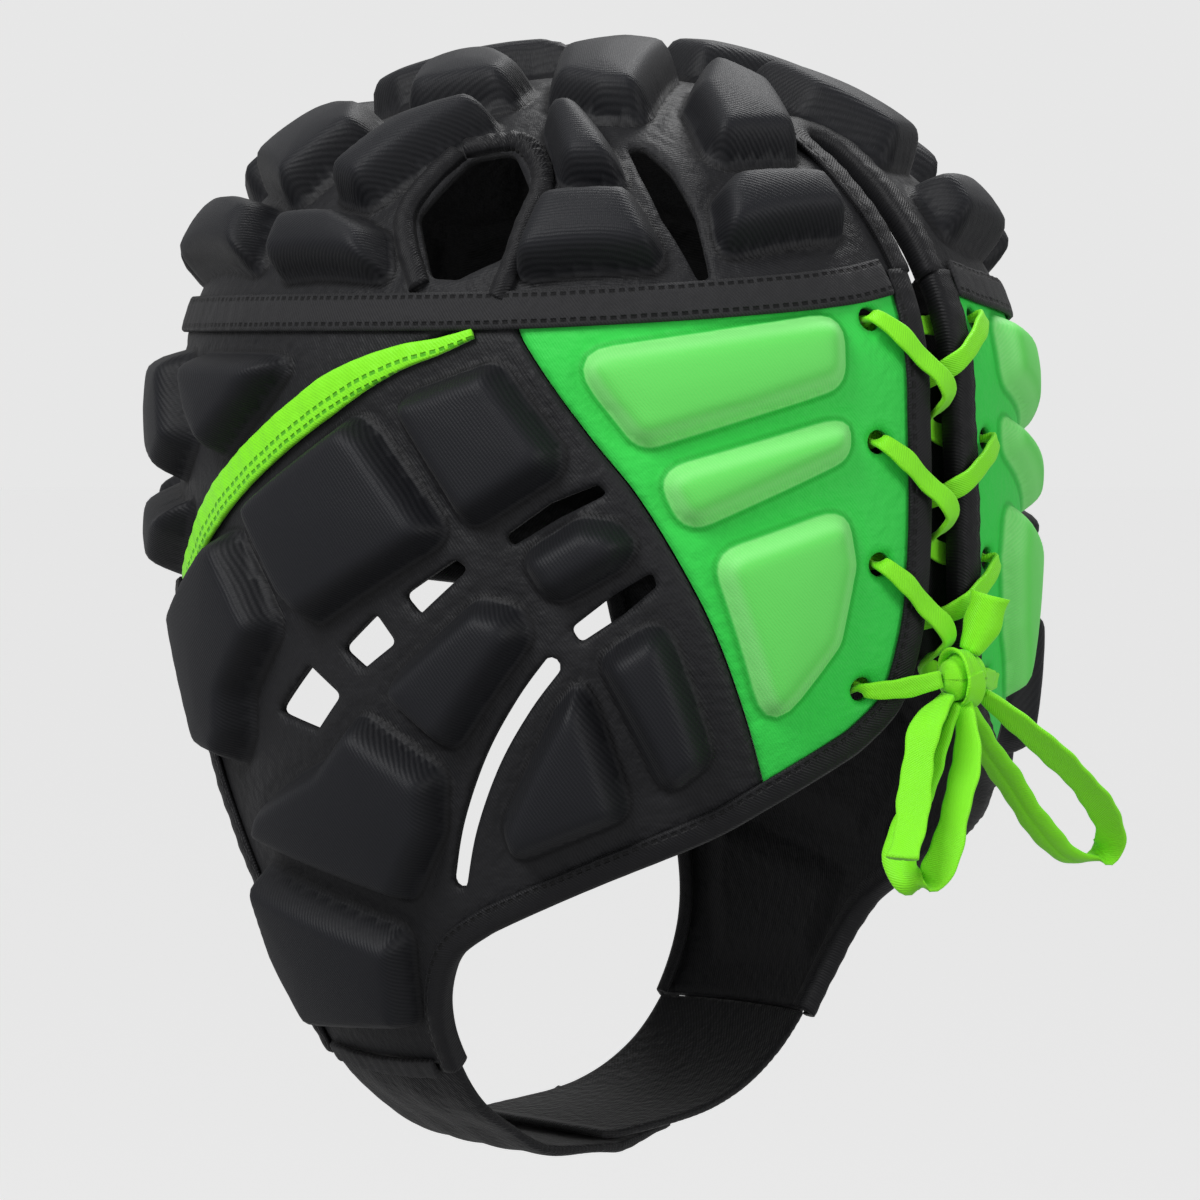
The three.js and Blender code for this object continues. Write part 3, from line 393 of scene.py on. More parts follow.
def padded_sheet(
    name, point_at, outline, vents, pads, swell, step=1.25, flip=False, shape=None, wall=WALL,
    relief=1.9, grow=0.8,
):
    """One panel. swell gives a pad's height at a depth inside its foot, shape may add height
    of its own at each point, relief is how far the pads press inwards, and grow is how far
    the cloth stands off round each pad's foam."""
    edge = divided(inset(outline, SEAM_GAP / 2), step)
    holes = [divided(vent, step) for vent in vents]
    feet = [divided(inset(rounded(pad, PAD_CORNER), -grow), step) for pad in pads]
    low, high = edge.min(0), edge.max(0)
    rows = np.arange(low[1], high[1], step * ROW_SHARE)
    columns = np.arange(low[0], high[0], step)
    grid = np.stack(np.meshgrid(columns, rows), -1)
    grid[1::2, :, 0] += step / 2
    grid = grid.reshape(-1, 2)
    grid = grid[depth_in(edge, grid) > 0.5 * step]
    for ring in holes + feet:
        close = near(ring, grid, step)
        gap = depth_in(ring, grid[close])
        drop = np.abs(gap) < 0.55 * step
        if any(ring is hole for hole in holes):
            drop |= gap > 0
        keep = np.ones(len(grid), bool)
        keep[np.flatnonzero(close)[drop]] = False
        grid = grid[keep]
    flat, faces = triangles_of([edge, *holes, *feet], grid)
    middle = flat[faces].mean(1)
    kept = depth_in(edge, middle) > 0
    for hole in holes:
        close = np.flatnonzero(near(hole, middle, 1))
        kept[close[depth_in(hole, middle[close]) > 0]] = False
    faces = faces[kept]
    corner = flat[faces]
    turned = np.cross(corner[:, 1] - corner[:, 0], corner[:, 2] - corner[:, 0]) < 0
    faces[turned] = faces[turned][:, ::-1]
    used = np.unique(faces)
    index = np.zeros(len(flat), int)
    index[used] = np.arange(len(used))
    flat, faces = flat[used], index[faces]

    pad_depth = np.full(len(flat), NO_PAD)
    pad_tone = np.zeros(len(flat))
    for number, foot in enumerate(feet):
        close = np.flatnonzero(near(foot, flat, PAD_REACH))
        depth = depth_in(foot, flat[close])
        nearer = depth > pad_depth[close]
        pad_depth[close] = np.where(nearer, depth, pad_depth[close])
        pad_tone[close] = np.where(nearer & (depth > 0), (0.37 + 0.618 * number) % 1, pad_tone[close])
    edge_depth = depth_in(edge, flat)
    for hole in holes:
        close = np.flatnonzero(near(hole, flat, PAD_REACH))
        edge_depth[close] = np.minimum(edge_depth[close], -depth_in(hole, flat[close]))
    edge_depth = np.abs(edge_depth)
    outer = wall + swell(pad_depth)
    outer -= DIP_DEPTH * np.exp(-((pad_depth + DIP_AWAY) / DIP_WIDTH) ** 2)
    if shape:
        outer += shape(flat, pad_depth)
    roll = np.exp(-((edge_depth / ROLL_WIDTH) ** 2))
    outer -= ROLL_OUTSIDE * roll
    outer[edge_depth < 0.01] -= EDGE_DROP
    inner = -relief * np.clip((pad_depth - 1) / 6, 0, 1) ** 0.7 + ROLL_INSIDE * roll
    links = np.vstack([faces[:, [0, 1]], faces[:, [1, 2]], faces[:, [2, 0]]])
    total, count = np.zeros(len(flat)), np.zeros(len(flat))
    np.add.at(total, links[:, 0], outer[links[:, 1]])
    np.add.at(total, links[:, 1], outer[links[:, 0]])
    np.add.at(count, links.ravel(), 1)
    outer += SMOOTHING * (total / count - outer) * (pad_depth > 0.2)

    sides = {(a, b) for a, b in links}
    border = np.array([(a, b) for a, b in links if (b, a) not in sides])
    size = len(flat)
    walls = np.vstack([
        np.stack([border[:, 1], border[:, 0], border[:, 0] + size], -1),
        np.stack([border[:, 1], border[:, 0] + size, border[:, 1] + size], -1),
    ])
    all_faces = np.vstack([faces, faces[:, ::-1] + size, walls])
    points = np.vstack([lay(point_at, flat, outer), lay(point_at, flat, inner)]) / 1000
    if flip:
        points = points * [-1, 1, 1]
        all_faces = all_faces[:, ::-1]
    mesh = bpy.data.meshes.new(name)
    mesh.from_pydata(points.tolist(), [], all_faces.tolist())
    cloth = np.column_stack([flat, np.zeros(size)])
    give(mesh, "cloth", np.vstack([cloth, cloth + [0, 0, INSIDE_SHIFT]]))
    give(mesh, "pad", np.concatenate([np.clip(pad_depth / 5, -1, 1), np.full(size, -1.0)]))
    give(mesh, "tone", np.tile(pad_tone, 2))
    give(mesh, "inside", np.repeat([0.0, 1.0], size))
    return mesh


def shoulder(height, bevel, crown, softness=0.35):
    """A pad's profile: a steep side, a shoulder as round as its softness, and a slight dome."""
    def swell(depth):
        t = np.clip(depth, 0, None) / bevel
        part = np.clip(0.5 + 0.5 * (1 - t) / softness, 0, 1)
        side = 1 - part + t * part - softness * part * (1 - part)
        dome = crown * (1 - np.exp(-np.clip(depth - bevel, 0, None) / 7))
        return (height * side.clip(0, 1) + dome) * (depth > 0)
    return swell


def node(tree, kind, **values):
    made = tree.nodes.new(kind)
    for key, value in values.items():
        setattr(made, key, value)
    return made


def math_node(tree, operation, first, second=None, third=None):
    made = node(tree, "ShaderNodeMath", operation=operation)
    for socket, value in zip(made.inputs, (first, second, third)):
        if value is None:
            continue
        if isinstance(value, (int, float)):
            socket.default_value = value
        else:
            tree.links.new(value, socket)
    return made.outputs[0]


def new_group(name, inputs, outputs):
    tree = bpy.data.node_groups.new(name, "ShaderNodeTree")
    for label, kind, value in inputs:
        socket = tree.interface.new_socket(label, in_out="INPUT", socket_type=kind)
        if value is not None:
            socket.default_value = value
    for label, kind in outputs:
        tree.interface.new_socket(label, in_out="OUTPUT", socket_type=kind)
    return tree, tree.nodes.new("NodeGroupInput").outputs, tree.nodes.new("NodeGroupOutput").inputs


# A fine diagonal weave, and the fading, puckers and fuzz that every cloth of the cap has.
weave_group, given, result = new_group(
    "twill_weave",
    [("Cloth", "NodeSocketVector", None), ("Pitch", "NodeSocketFloat", 1.0),
     ("Slant", "NodeSocketFloat", 0.8)],
    [("Height", "NodeSocketFloat"), ("Thread", "NodeSocketFloat")],
)
apart = node(weave_group, "ShaderNodeSeparateXYZ")
weave_group.links.new(given["Cloth"], apart.inputs[0])
wander = node(weave_group, "ShaderNodeTexNoise")
wander.inputs["Scale"].default_value = 0.05
weave_group.links.new(given["Cloth"], wander.inputs["Vector"])
slanted = math_node(weave_group, "MULTIPLY_ADD", apart.outputs["Y"], given["Slant"], apart.outputs["X"])
shifted = math_node(weave_group, "MULTIPLY_ADD", wander.outputs[0], 2.0, slanted)
turns_of_rib = math_node(weave_group, "DIVIDE", shifted, given["Pitch"])
rib = math_node(weave_group, "SINE", math_node(weave_group, "MULTIPLY", turns_of_rib, 2 * math.pi))
crossing = math_node(weave_group, "SUBTRACT", apart.outputs["X"], apart.outputs["Y"])
cross_turns = math_node(weave_group, "DIVIDE", crossing, given["Pitch"])
cross_rib = math_node(weave_group, "SINE", math_node(weave_group, "MULTIPLY", cross_turns, 9.0))
thread = math_node(weave_group, "MULTIPLY_ADD", cross_rib, 0.22, rib)
weave_group.links.new(math_node(weave_group, "MULTIPLY_ADD", thread, 0.4, 0.5), result["Height"])
weave_group.links.new(math_node(weave_group, "MULTIPLY_ADD", rib, 0.5, 0.5), result["Thread"])

worn_group, given, result = new_group(
    "cloth_wear",
    [("Cloth", "NodeSocketVector", None), ("Patch Size", "NodeSocketFloat", 30.0),
     ("Amount", "NodeSocketFloat", 0.3)],
    [("Fade", "NodeSocketFloat"), ("Pucker", "NodeSocketFloat"), ("Fuzz", "NodeSocketFloat")],
)
patch = node(worn_group, "ShaderNodeTexNoise")
patch.inputs["Detail"].default_value = 3
worn_group.links.new(given["Cloth"], patch.inputs["Vector"])
worn_group.links.new(math_node(worn_group, "DIVIDE", 1.0, given["Patch Size"]), patch.inputs["Scale"])
faded = math_node(worn_group, "MULTIPLY", patch.outputs[0], given["Amount"])
worn_group.links.new(faded, result["Fade"])
pucker = node(worn_group, "ShaderNodeTexNoise")
pucker.inputs["Scale"].default_value = 0.35
pucker.inputs["Detail"].default_value = 2
worn_group.links.new(given["Cloth"], pucker.inputs["Vector"])
worn_group.links.new(pucker.outputs[0], result["Pucker"])
fuzz = node(worn_group, "ShaderNodeTexNoise")
fuzz.inputs["Scale"].default_value = 2.2
fuzz.inputs["Detail"].default_value = 2
worn_group.links.new(given["Cloth"], fuzz.inputs["Vector"])
worn_group.links.new(fuzz.outputs[0], result["Fuzz"])


def cloth_material(name, dark, light, inside, pitch, weave, pucker_depth, roughness, sheen, pads=None):
    """Cloth that reads its own threads' place. Colours: two for its fading, one for the side
    that lies on the head, and for pads a dict of painted light: a painted shadow line at the
    foot, and painted light and shade on the shoulder and top."""
    material = bpy.data.materials.new(name)
    material.use_nodes = True
    tree = material.node_tree
    shader = tree.nodes["Principled BSDF"]
    shader.inputs["Sheen Weight"].default_value = sheen
    shader.inputs["Sheen Roughness"].default_value = 0.45
    shader.inputs["Specular IOR Level"].default_value = 0.2
    cloth = node(tree, "ShaderNodeAttribute", attribute_name="cloth")
    pad = node(tree, "ShaderNodeAttribute", attribute_name="pad")
    tone = node(tree, "ShaderNodeAttribute", attribute_name="tone")
    within = node(tree, "ShaderNodeAttribute", attribute_name="inside")
    threads = node(tree, "ShaderNodeGroup", node_tree=weave_group)
    threads.inputs["Pitch"].default_value = pitch
    worn = node(tree, "ShaderNodeGroup", node_tree=worn_group)
    tree.links.new(cloth.outputs["Vector"], threads.inputs["Cloth"])
    tree.links.new(cloth.outputs["Vector"], worn.inputs["Cloth"])

    def mix(factor, first, second):
        made = node(tree, "ShaderNodeMix", data_type="RGBA")
        tree.links.new(factor, made.inputs["Factor"])
        for socket, value in zip(made.inputs[6:8], (first, second)):
            if isinstance(value, tuple):
                socket.default_value = (*value, 1)
            else:
                tree.links.new(value, socket)
        return made.outputs[2]

    pad_fade = math_node(tree, "MULTIPLY", tone.outputs["Fac"], 0.25)
    faded = mix(math_node(tree, "ADD", worn.outputs["Fade"], pad_fade), dark, light)

    def ramp(value, low, high, start=0, end=1):
        made = node(tree, "ShaderNodeMapRange", interpolation_type="SMOOTHSTEP")
        tree.links.new(value, made.inputs["Value"])
        for socket, number in zip(made.inputs[1:5], (low, high, start, end)):
            socket.default_value = number
        return made.outputs["Result"]

    on_pad = ramp(pad.outputs["Fac"], 0.0, 0.14)
    with_painted_pad_light = faded
    # Painted light on the pads: a painted shadow line along each foot, and painted highlight and shade on
    # the shoulder and top, standing in for how the light falls on them.
    if pads:
        painted_top_light_mask = ramp(pad.outputs["Fac"], 0.5, 0.95)
        from_foot = math_node(tree, "ABSOLUTE", math_node(tree, "ADD", pad.outputs["Fac"], 0.06))
        painted_foot_shadow_mask = ramp(from_foot, 0.0, 0.2, 0.75, 0)
        with_painted_pad_light = mix(painted_foot_shadow_mask, mix(painted_top_light_mask, mix(on_pad, faded, pads["shoulder"]), pads["top"]), pads["foot"])
    ribbed = mix(math_node(tree, "MULTIPLY", threads.outputs["Thread"], 0.22), with_painted_pad_light, light)
    tree.links.new(mix(within.outputs["Fac"], ribbed, inside), shader.inputs["Base Color"])
    rough = math_node(tree, "MULTIPLY_ADD", worn.outputs["Fuzz"], 0.16, roughness - 0.08)
    tree.links.new(rough, shader.inputs["Roughness"])
    deep = math_node(tree, "MULTIPLY", threads.outputs["Height"], weave)
    between_pads = math_node(tree, "SUBTRACT", 1.0, on_pad)
    creased = math_node(tree, "MULTIPLY", worn.outputs["Pucker"], between_pads)
    height = math_node(tree, "MULTIPLY_ADD", creased, pucker_depth, deep)
    height = math_node(tree, "MULTIPLY_ADD", worn.outputs["Fuzz"], 0.06, height)
    bump = node(tree, "ShaderNodeBump")
    bump.inputs["Strength"].default_value = 0.8
    bump.inputs["Distance"].default_value = 0.001
    tree.links.new(height, bump.inputs["Height"])
    tree.links.new(bump.outputs["Normal"], shader.inputs["Normal"])
    return material


black_knit = cloth_material(
    "black_knit", (0.0085, 0.0087, 0.0098), (0.020, 0.020, 0.023), (0.006, 0.006, 0.007),
    pitch=0.85, weave=0.07, pucker_depth=0.7, roughness=0.56, sheen=0.03,
    # The pad colours are painted light: a painted shadow line at the foot, painted shade on the shoulder
    # and a lighter painted top.
    pads={"foot": (0.0015, 0.0015, 0.002), "shoulder": (0.0038, 0.0042, 0.0058),
          "top": (0.0062, 0.0068, 0.0092)},
)

CROWN_PAD = {"height": 9, "bevel": 3.4, "crown": 1.5, "softness": 0.5}
SLIT_HALF_WIDTH = 5.6
SLIT_TOP = 58
BAND_BACK = [SLIT_HALF_WIDTH, 101]
SEAM_TOP = [94, 108.5]
BAND_LINE = [
    [BAND_BACK[0] + 1.4, BAND_BACK[1]], [25, 104], [54, 106.5], [95, 108.5], [150, 109], [220, 109.5],
    [ROUND_STEPS, 110],
]
BAND_WIDTH = 8
CROWN_PADS = {
    "middle_front": [[3, 4], [12, -9], [32, -31], [30, -42], [3, -44]],
    "middle_side": [[55, -7], [30, -25], [17, -14], [35, 11], [46, 15]],
    "middle_back": [[44, 23], [26, 9], [5, 9], [3, 24], [36, 43], [42, 35]],
    "second_brow": [[3, -50], [32, -48], [50, -64], [40, -75], [3, -80]],
    "second_front": [[56, -55], [41, -38], [52, -17], [63, -9], [82, -22]],
    "second_side": [[81, -10], [62, -1], [51, 12], [55, 19], [73, 11], [85, 5]],
    "second_rear": [[50, 26], [45, 34], [52, 49], [57, 56], [66, 45]],
    "second_back": [[26, 45], [5, 31], [5, 52], [16, 70], [38, 63]],
    "low_brow": [[3, -86], [36, -81], [44, -92], [3, -103]],
    "low_corner": [[42, -79], [53, -69], [66, -79], [52, -90]],
    "low_front": [[72, -74], [60, -60], [80, -29], [99, -24]],
    "low_side": [[101, -17], [86, -17], [87, 2], [91, 14], [101, 21]],
    "low_rear": [[91, 49], [71, 44], [58, 59], [65, 77]],
    "low_back": [[46, 71], [39, 69], [18, 77], [19, 91], [54, 82]],
}
SIDE_VENT_CORNER = 4
REAR_VENT_CORNER = 2
SIDE_VENT = [[97, 29], [95, 36], [86, 44], [69, 38], [60, 26], [65, 19], [84, 17]]
REAR_VENT = [[61, 82], [57, 66], [51, 54], [46, 46], [43, 48], [45, 58], [50, 70], [58, 83]]
band_line = smooth(BAND_LINE)


def on_crown(line):
    turn = turn_at(line[:, 0])
    return np.stack([line[:, 1] * np.sin(turn), line[:, 1] * np.cos(turn)], -1)


slit_end = BAND_BACK[1] - BAND_WIDTH * 0.3
slit_half = np.array(
    [[0.6 * SLIT_HALF_WIDTH, SLIT_TOP + 0.3 * SLIT_HALF_WIDTH]]
    + [[SLIT_HALF_WIDTH, down] for down in np.linspace(SLIT_TOP + SLIT_HALF_WIDTH, slit_end, 5)]
)
crown_half = np.vstack([[[0, SLIT_TOP]], slit_half, on_crown(band_line)])

crown_vents = []
for vent, corner in ((SIDE_VENT, SIDE_VENT_CORNER), (REAR_VENT, REAR_VENT_CORNER)):
    crown_vents += [rounded(vent, corner), rounded(mirror(vent), corner)]
crown_mesh = padded_sheet(
    "crown_cloth", crown_point, closed(crown_half, mirror(crown_half)[::-1]), crown_vents,
    [ring for pad in CROWN_PADS.values() for ring in (closed(pad), closed(mirror(pad)))],
    shoulder(**CROWN_PAD),
)
crown = link_piece("crown_cloth", crown_mesh, black_knit, ["crown"])

# The brow panel is black padded knit that runs round the forehead from piping to piping, with
# two rows of pads. Its ends hold the long pads at the temples.
BROW_PAD = {"height": 8, "bevel": 3.6, "crown": 1.0, "softness": 0.45}
BROW_CORNER = [207, 172]
BROW_EDGE = [BROW_CORNER, [230, 174], [258, 171], [ROUND_STEPS, 169]]
PIPING_LINE = [SEAM_TOP, [113, 114.5], [137, 125], [158, 137], [180, 151], [198, 165], BROW_CORNER]
BROW_PADS = {
    "temple": [[193, 118], [149, 118], [161, 129], [177, 141], [186, 132]],
    "outer_high": [[200, 118], [232, 118], [232, 140], [204, 146], [193, 137]],
    "outer_low": [[196, 150], [206, 152], [232, 147], [232, 167], [212, 167], [200, 158]],
    "inner_high": [[239, 118], [284, 119], [284, 139], [239, 139]],
    "inner_low": [[239, 145], [284, 145], [284, 162], [262, 164], [239, 167]],
}


def across(line):
    """The same line on the other side of the forehead's middle."""
    return np.asarray(line, float) * [-1, 1] + [2 * ROUND_STEPS, 0]


brow_edge = smooth(BROW_EDGE)
piping_line = smooth(PIPING_LINE)
upper = band_line[band_line[:, 0] >= SEAM_TOP[0] - 0.01]
lower = np.vstack([piping_line, brow_edge])
brow_mesh = padded_sheet(
    "brow_cloth", side_point, closed(upper, across(upper)[::-1], across(lower), lower[::-1]), [],
    [ring for pad in BROW_PADS.values() for ring in (closed(pad), closed(across(pad)))],
    shoulder(**BROW_PAD),
)
brow = link_piece("brow_cloth", brow_mesh, black_knit, ["brow_panel"])

# Each side panel of black padded knit covers the ear and the cheek. Vents and a long slot are
# cut through it between its nine pads, and its lower end is sewn to the chin strap.
SIDES = (("left", False), ("right", True))
SIDE_PAD = {"height": 8, "bevel": 3.9, "crown": 0.8}
SEAM_FOOT = [38, 210]
NECK_CORNER = [100, 239]
CORNER_FOOT = [20, 199]
STRAP_DOWN = 276
STRAP_REAR_FOOT = [119, STRAP_DOWN]
STRAP_FRONT_FOOT = [187, STRAP_DOWN]
LOWER_EDGE = [CORNER_FOOT, SEAM_FOOT, [50, 217], [73, 227], NECK_CORNER]
STRAP_REAR = [NECK_CORNER, [111, 246], [117, 256], [119, 266], STRAP_REAR_FOOT]
FACE_EDGE = [BROW_CORNER, [203, 190], [197, 208], [191, 224], [186, 240], [184, 256], STRAP_FRONT_FOOT]
BACK_SEAM = [SEAM_TOP, [92, 115], [78, 134], [67, 148], [55, 169], [46, 190], SEAM_FOOT]
SIDE_PADS = {
    "above_ear": [[122, 127], [97, 119], [83, 137], [84, 142], [103, 154]],
    "ear_front": [[164, 150], [131, 130], [125, 134], [107, 155], [143, 175], [150, 170]],
    "temple": [
        [200, 174], [176, 157], [169, 156], [154, 176], [168, 191], [170, 200], [176, 207], [190, 205],
    ],
    "ear_back": [[92, 159], [79, 151], [72, 152], [68, 156], [71, 161], [83, 168], [87, 167]],
    "ear_middle": [[101, 168], [92, 170], [90, 176], [99, 188], [108, 201], [125, 188]],
    "nape": [[76, 180], [63, 171], [51, 201], [60, 209]],
    "ear_low": [[79, 184], [84, 190], [96, 216], [93, 224], [67, 213]],
    "cheek": [[142, 204], [131, 193], [110, 205], [111, 218], [121, 234], [173, 223], [165, 214]],
    "jaw": [[178, 229], [123, 241], [126, 264], [170, 267], [177, 250]],
}
EAR_VENTS = {
    "front": [[147, 184], [138, 190], [146, 198], [160, 195]],
    "middle": [[127, 172], [122, 178], [131, 184], [137, 180]],
    "upper": [[120, 168], [107, 160], [104, 162], [116, 172]],
    "rear_high": [[96, 155], [86, 148], [76, 144], [74, 146], [84, 151], [94, 157]],
    "rear_low": [[82, 174], [73, 167], [65, 162], [64, 165], [71, 171], [80, 177]],
}
VENT_CORNER = 1.5
SLOT_LINE = [[86, 182], [92, 190], [99, 202], [105, 217], [108, 229]]
SLOT_HALF_WIDTH = 2


def slot_ring(line, half_width):
    path = smooth(line, 2)
    ahead = np.gradient(path, axis=0)
    ahead /= np.linalg.norm(ahead, axis=1)[:, None]
    side = np.stack([-ahead[:, 1], ahead[:, 0]], -1) * half_width
    tips = []
    for end, turn in ((path[-1], ahead[-1]), (path[0], -ahead[0])):
        normal = np.array([-turn[1], turn[0]])
        tips.append([end + half_width * (normal * math.cos(a) + turn * math.sin(a))
                     for a in np.linspace(0.4, math.pi - 0.4, 5)])
    return closed(path + side, tips[0], (path - side)[::-1], tips[1])


back_seam = smooth(BACK_SEAM)
face_edge = smooth(FACE_EDGE)
strap_rear = smooth(STRAP_REAR)
lower_side = smooth(LOWER_EDGE[1:])
side_outline = closed(piping_line, face_edge, np.vstack([back_seam, lower_side, strap_rear])[::-1])
side_vents = [rounded(vent, VENT_CORNER) for vent in EAR_VENTS.values()]
side_vents.append(slot_ring(SLOT_LINE, SLOT_HALF_WIDTH))
for side, flip in SIDES:
    side_mesh = padded_sheet(
        f"side_cloth_{side}", side_point, side_outline, side_vents,
        [closed(pad) for pad in SIDE_PADS.values()], shoulder(**SIDE_PAD), flip=flip,
    )
    panel = link_piece(f"side_cloth_{side}", side_mesh, black_knit, [f"side_panel_{side}"])

# The two back panels are bright green stretch knit with three softer pads each. Four
# eyelets a side are cut for the lace, beside the bound edge of the gap.
BACK_PAD = {"height": 5, "bevel": 3.6, "crown": 0.6, "softness": 0.5}
BACK_RELIEF = 0.8
BACK_GROW = 1.5
SLIT_FOOT = [9, 182]
SLIT_EDGE = [BAND_BACK, [SLIT_HALF_WIDTH, 125], [6, 150], [7, 170], SLIT_FOOT]
BACK_CORNER = [SLIT_FOOT, [12, 191], CORNER_FOOT]
BACK_PADS = {
    "high": [[81, 118], [25, 110], [26, 123], [67, 136]],
    "middle": [[63, 142], [25, 131], [25, 138], [58, 153]],
    "low": [[52, 159], [26, 150], [24, 161], [27, 177], [40, 195]],
}
EYELET_SIDES = 16
EYELETS = [[17, 110], [17, 135.5], [17, 161], [20, 187]]
EYELET_RADIUS = 2.6
green_knit = cloth_material(
    "green_knit", (0.026, 0.54, 0.058), (0.050, 0.64, 0.095), (0.03, 0.35, 0.05),
    pitch=0.7, weave=0.04, pucker_depth=0.5, roughness=0.55, sheen=0.05,
    # The pad colours are painted light: a painted shadow line at the foot, a painted highlight on the
    # shoulder and a less bright top.
    pads={"foot": (0.015, 0.36, 0.03), "shoulder": (0.22, 0.72, 0.19), "top": (0.13, 0.62, 0.105)},
)


def eyelet_ring(centre):
    angle = np.linspace(0, 2 * math.pi, EYELET_SIDES, endpoint=False)
    return np.asarray(centre) + EYELET_RADIUS * np.stack([np.cos(angle), np.sin(angle)], -1)


slit_edge = smooth(SLIT_EDGE)
back_corner = smooth(BACK_CORNER)
lower_back = smooth(LOWER_EDGE[:2])
back_top = band_line[band_line[:, 0] <= SEAM_TOP[0] + 0.01]
back_outline = closed(slit_edge, back_corner, lower_back, back_seam[::-1], back_top[::-1])
for side, flip in SIDES:
    back_mesh = padded_sheet(
        f"back_cloth_{side}", side_point, back_outline, [eyelet_ring(e) for e in EYELETS],
        [closed(pad) for pad in BACK_PADS.values()], shoulder(**BACK_PAD),
        flip=flip, relief=BACK_RELIEF, grow=BACK_GROW,
    )
    panel = link_piece(f"back_cloth_{side}", back_mesh, green_knit, [f"back_panel_{side}"])

# Tapes and bindings of black knit cover every seam and raw edge, sewn down with two rows of
# stitches. The head band lies over the seam between the crown and the panels below it.
CLEARANCE = 0.45
TAPE_WALL = 1.2
BINDING_LEG = 4.6
BINDING_INNER_LEG = 3
OVER_WALL = WALL + CLEARANCE
LIME = (0.20, 0.78, 0.012)

stitch_group, given, result = new_group(
    "stitch_rows",
    [("Cloth", "NodeSocketVector", None), ("First Row", "NodeSocketFloat", -2.5),
     ("Second Row", "NodeSocketFloat", 2.5), ("Pitch", "NodeSocketFloat", 2.4)],
    [("Stitch", "NodeSocketFloat")],
)
apart = node(stitch_group, "ShaderNodeSeparateXYZ")
stitch_group.links.new(given["Cloth"], apart.inputs[0])
rows = []
for row in ("First Row", "Second Row"):
    away = math_node(stitch_group, "SUBTRACT", apart.outputs["Y"], given[row])
    distance = math_node(stitch_group, "ABSOLUTE", away)
    band = node(stitch_group, "ShaderNodeMapRange", interpolation_type="SMOOTHSTEP")
    stitch_group.links.new(distance, band.inputs["Value"])
    for label, value in (("From Min", 0.2), ("From Max", 0.55), ("To Min", 1), ("To Max", 0)):
        band.inputs[label].default_value = value
    rows.append(band.outputs["Result"])
both_rows = math_node(stitch_group, "MAXIMUM", rows[0], rows[1])
repeats = math_node(stitch_group, "DIVIDE", apart.outputs["X"], given["Pitch"])
part = math_node(stitch_group, "FRACT", repeats)
dash = math_node(stitch_group, "LESS_THAN", part, 0.62)
stitch_group.links.new(math_node(stitch_group, "MULTIPLY", both_rows, dash), result["Stitch"])


def sew(material, first_row, second_row, colour, pitch=2.4):
    """Adds rows of stitches, at distances from the middle of a tape, to a cloth material."""
    tree = material.node_tree
    shader = tree.nodes["Principled BSDF"]
    cloth = next(n for n in tree.nodes if getattr(n, "attribute_name", "") == "cloth")
    stitches = node(tree, "ShaderNodeGroup", node_tree=stitch_group)
    stitches.inputs["First Row"].default_value = first_row
    stitches.inputs["Second Row"].default_value = second_row
    stitches.inputs["Pitch"].default_value = pitch
    tree.links.new(cloth.outputs["Vector"], stitches.inputs["Cloth"])
    below = shader.inputs["Base Color"].links[0].from_socket
    mixed = node(tree, "ShaderNodeMix", data_type="RGBA")
    mixed.inputs[7].default_value = (*colour, 1)
    tree.links.new(stitches.outputs["Stitch"], mixed.inputs["Factor"])
    tree.links.new(below, mixed.inputs[6])
    tree.links.new(mixed.outputs[2], shader.inputs["Base Color"])
    bump = next(n for n in tree.nodes if n.bl_idname == "ShaderNodeBump")
    smooth_height = bump.inputs["Height"].links[0].from_socket
    sunk = math_node(tree, "MULTIPLY_ADD", stitches.outputs["Stitch"], -0.45, smooth_height)
    tree.links.new(sunk, bump.inputs["Height"])
    return material


def resample(line, step):
    line = np.asarray(line, float)
    steps = np.linalg.norm(np.diff(line, axis=0), axis=1)
    line = line[np.append(True, steps > 1e-6)]
    along = np.append(0, np.cumsum(np.linalg.norm(np.diff(line, axis=0), axis=1)))
    even = np.linspace(0, along[-1], max(3, int(round(along[-1] / step)) + 1))
    return np.stack([np.interp(even, along, line[:, k]) for k in range(line.shape[1])], -1)


def tube_mesh(name, rings, cloth, flip=False):
    """A closed mesh through rings of equal count, with its end rings filled."""
    count, size = rings.shape[:2]
    points = rings.reshape(-1, 3) / 1000 * ([-1, 1, 1] if flip else [1, 1, 1])
    i = np.arange(count - 1)[:, None] * size
    j = np.arange(size)[None, :]
    after = (j + 1) % size
    quads = np.stack([i + j, i + after, i + size + after, i + size + j], -1).reshape(-1, 4)
    caps = [list(range(size))[::-1], list(range((count - 1) * size, count * size))]
    mesh = bpy.data.meshes.new(name)
    mesh.from_pydata(points.tolist(), [], quads.tolist() + caps)
    shape = bmesh.new()
    shape.from_mesh(mesh)
    bmesh.ops.recalc_face_normals(shape, faces=shape.faces)
    shape.to_mesh(mesh)
    shape.free()
    give(mesh, "cloth", cloth.reshape(-1, 3))
    return mesh


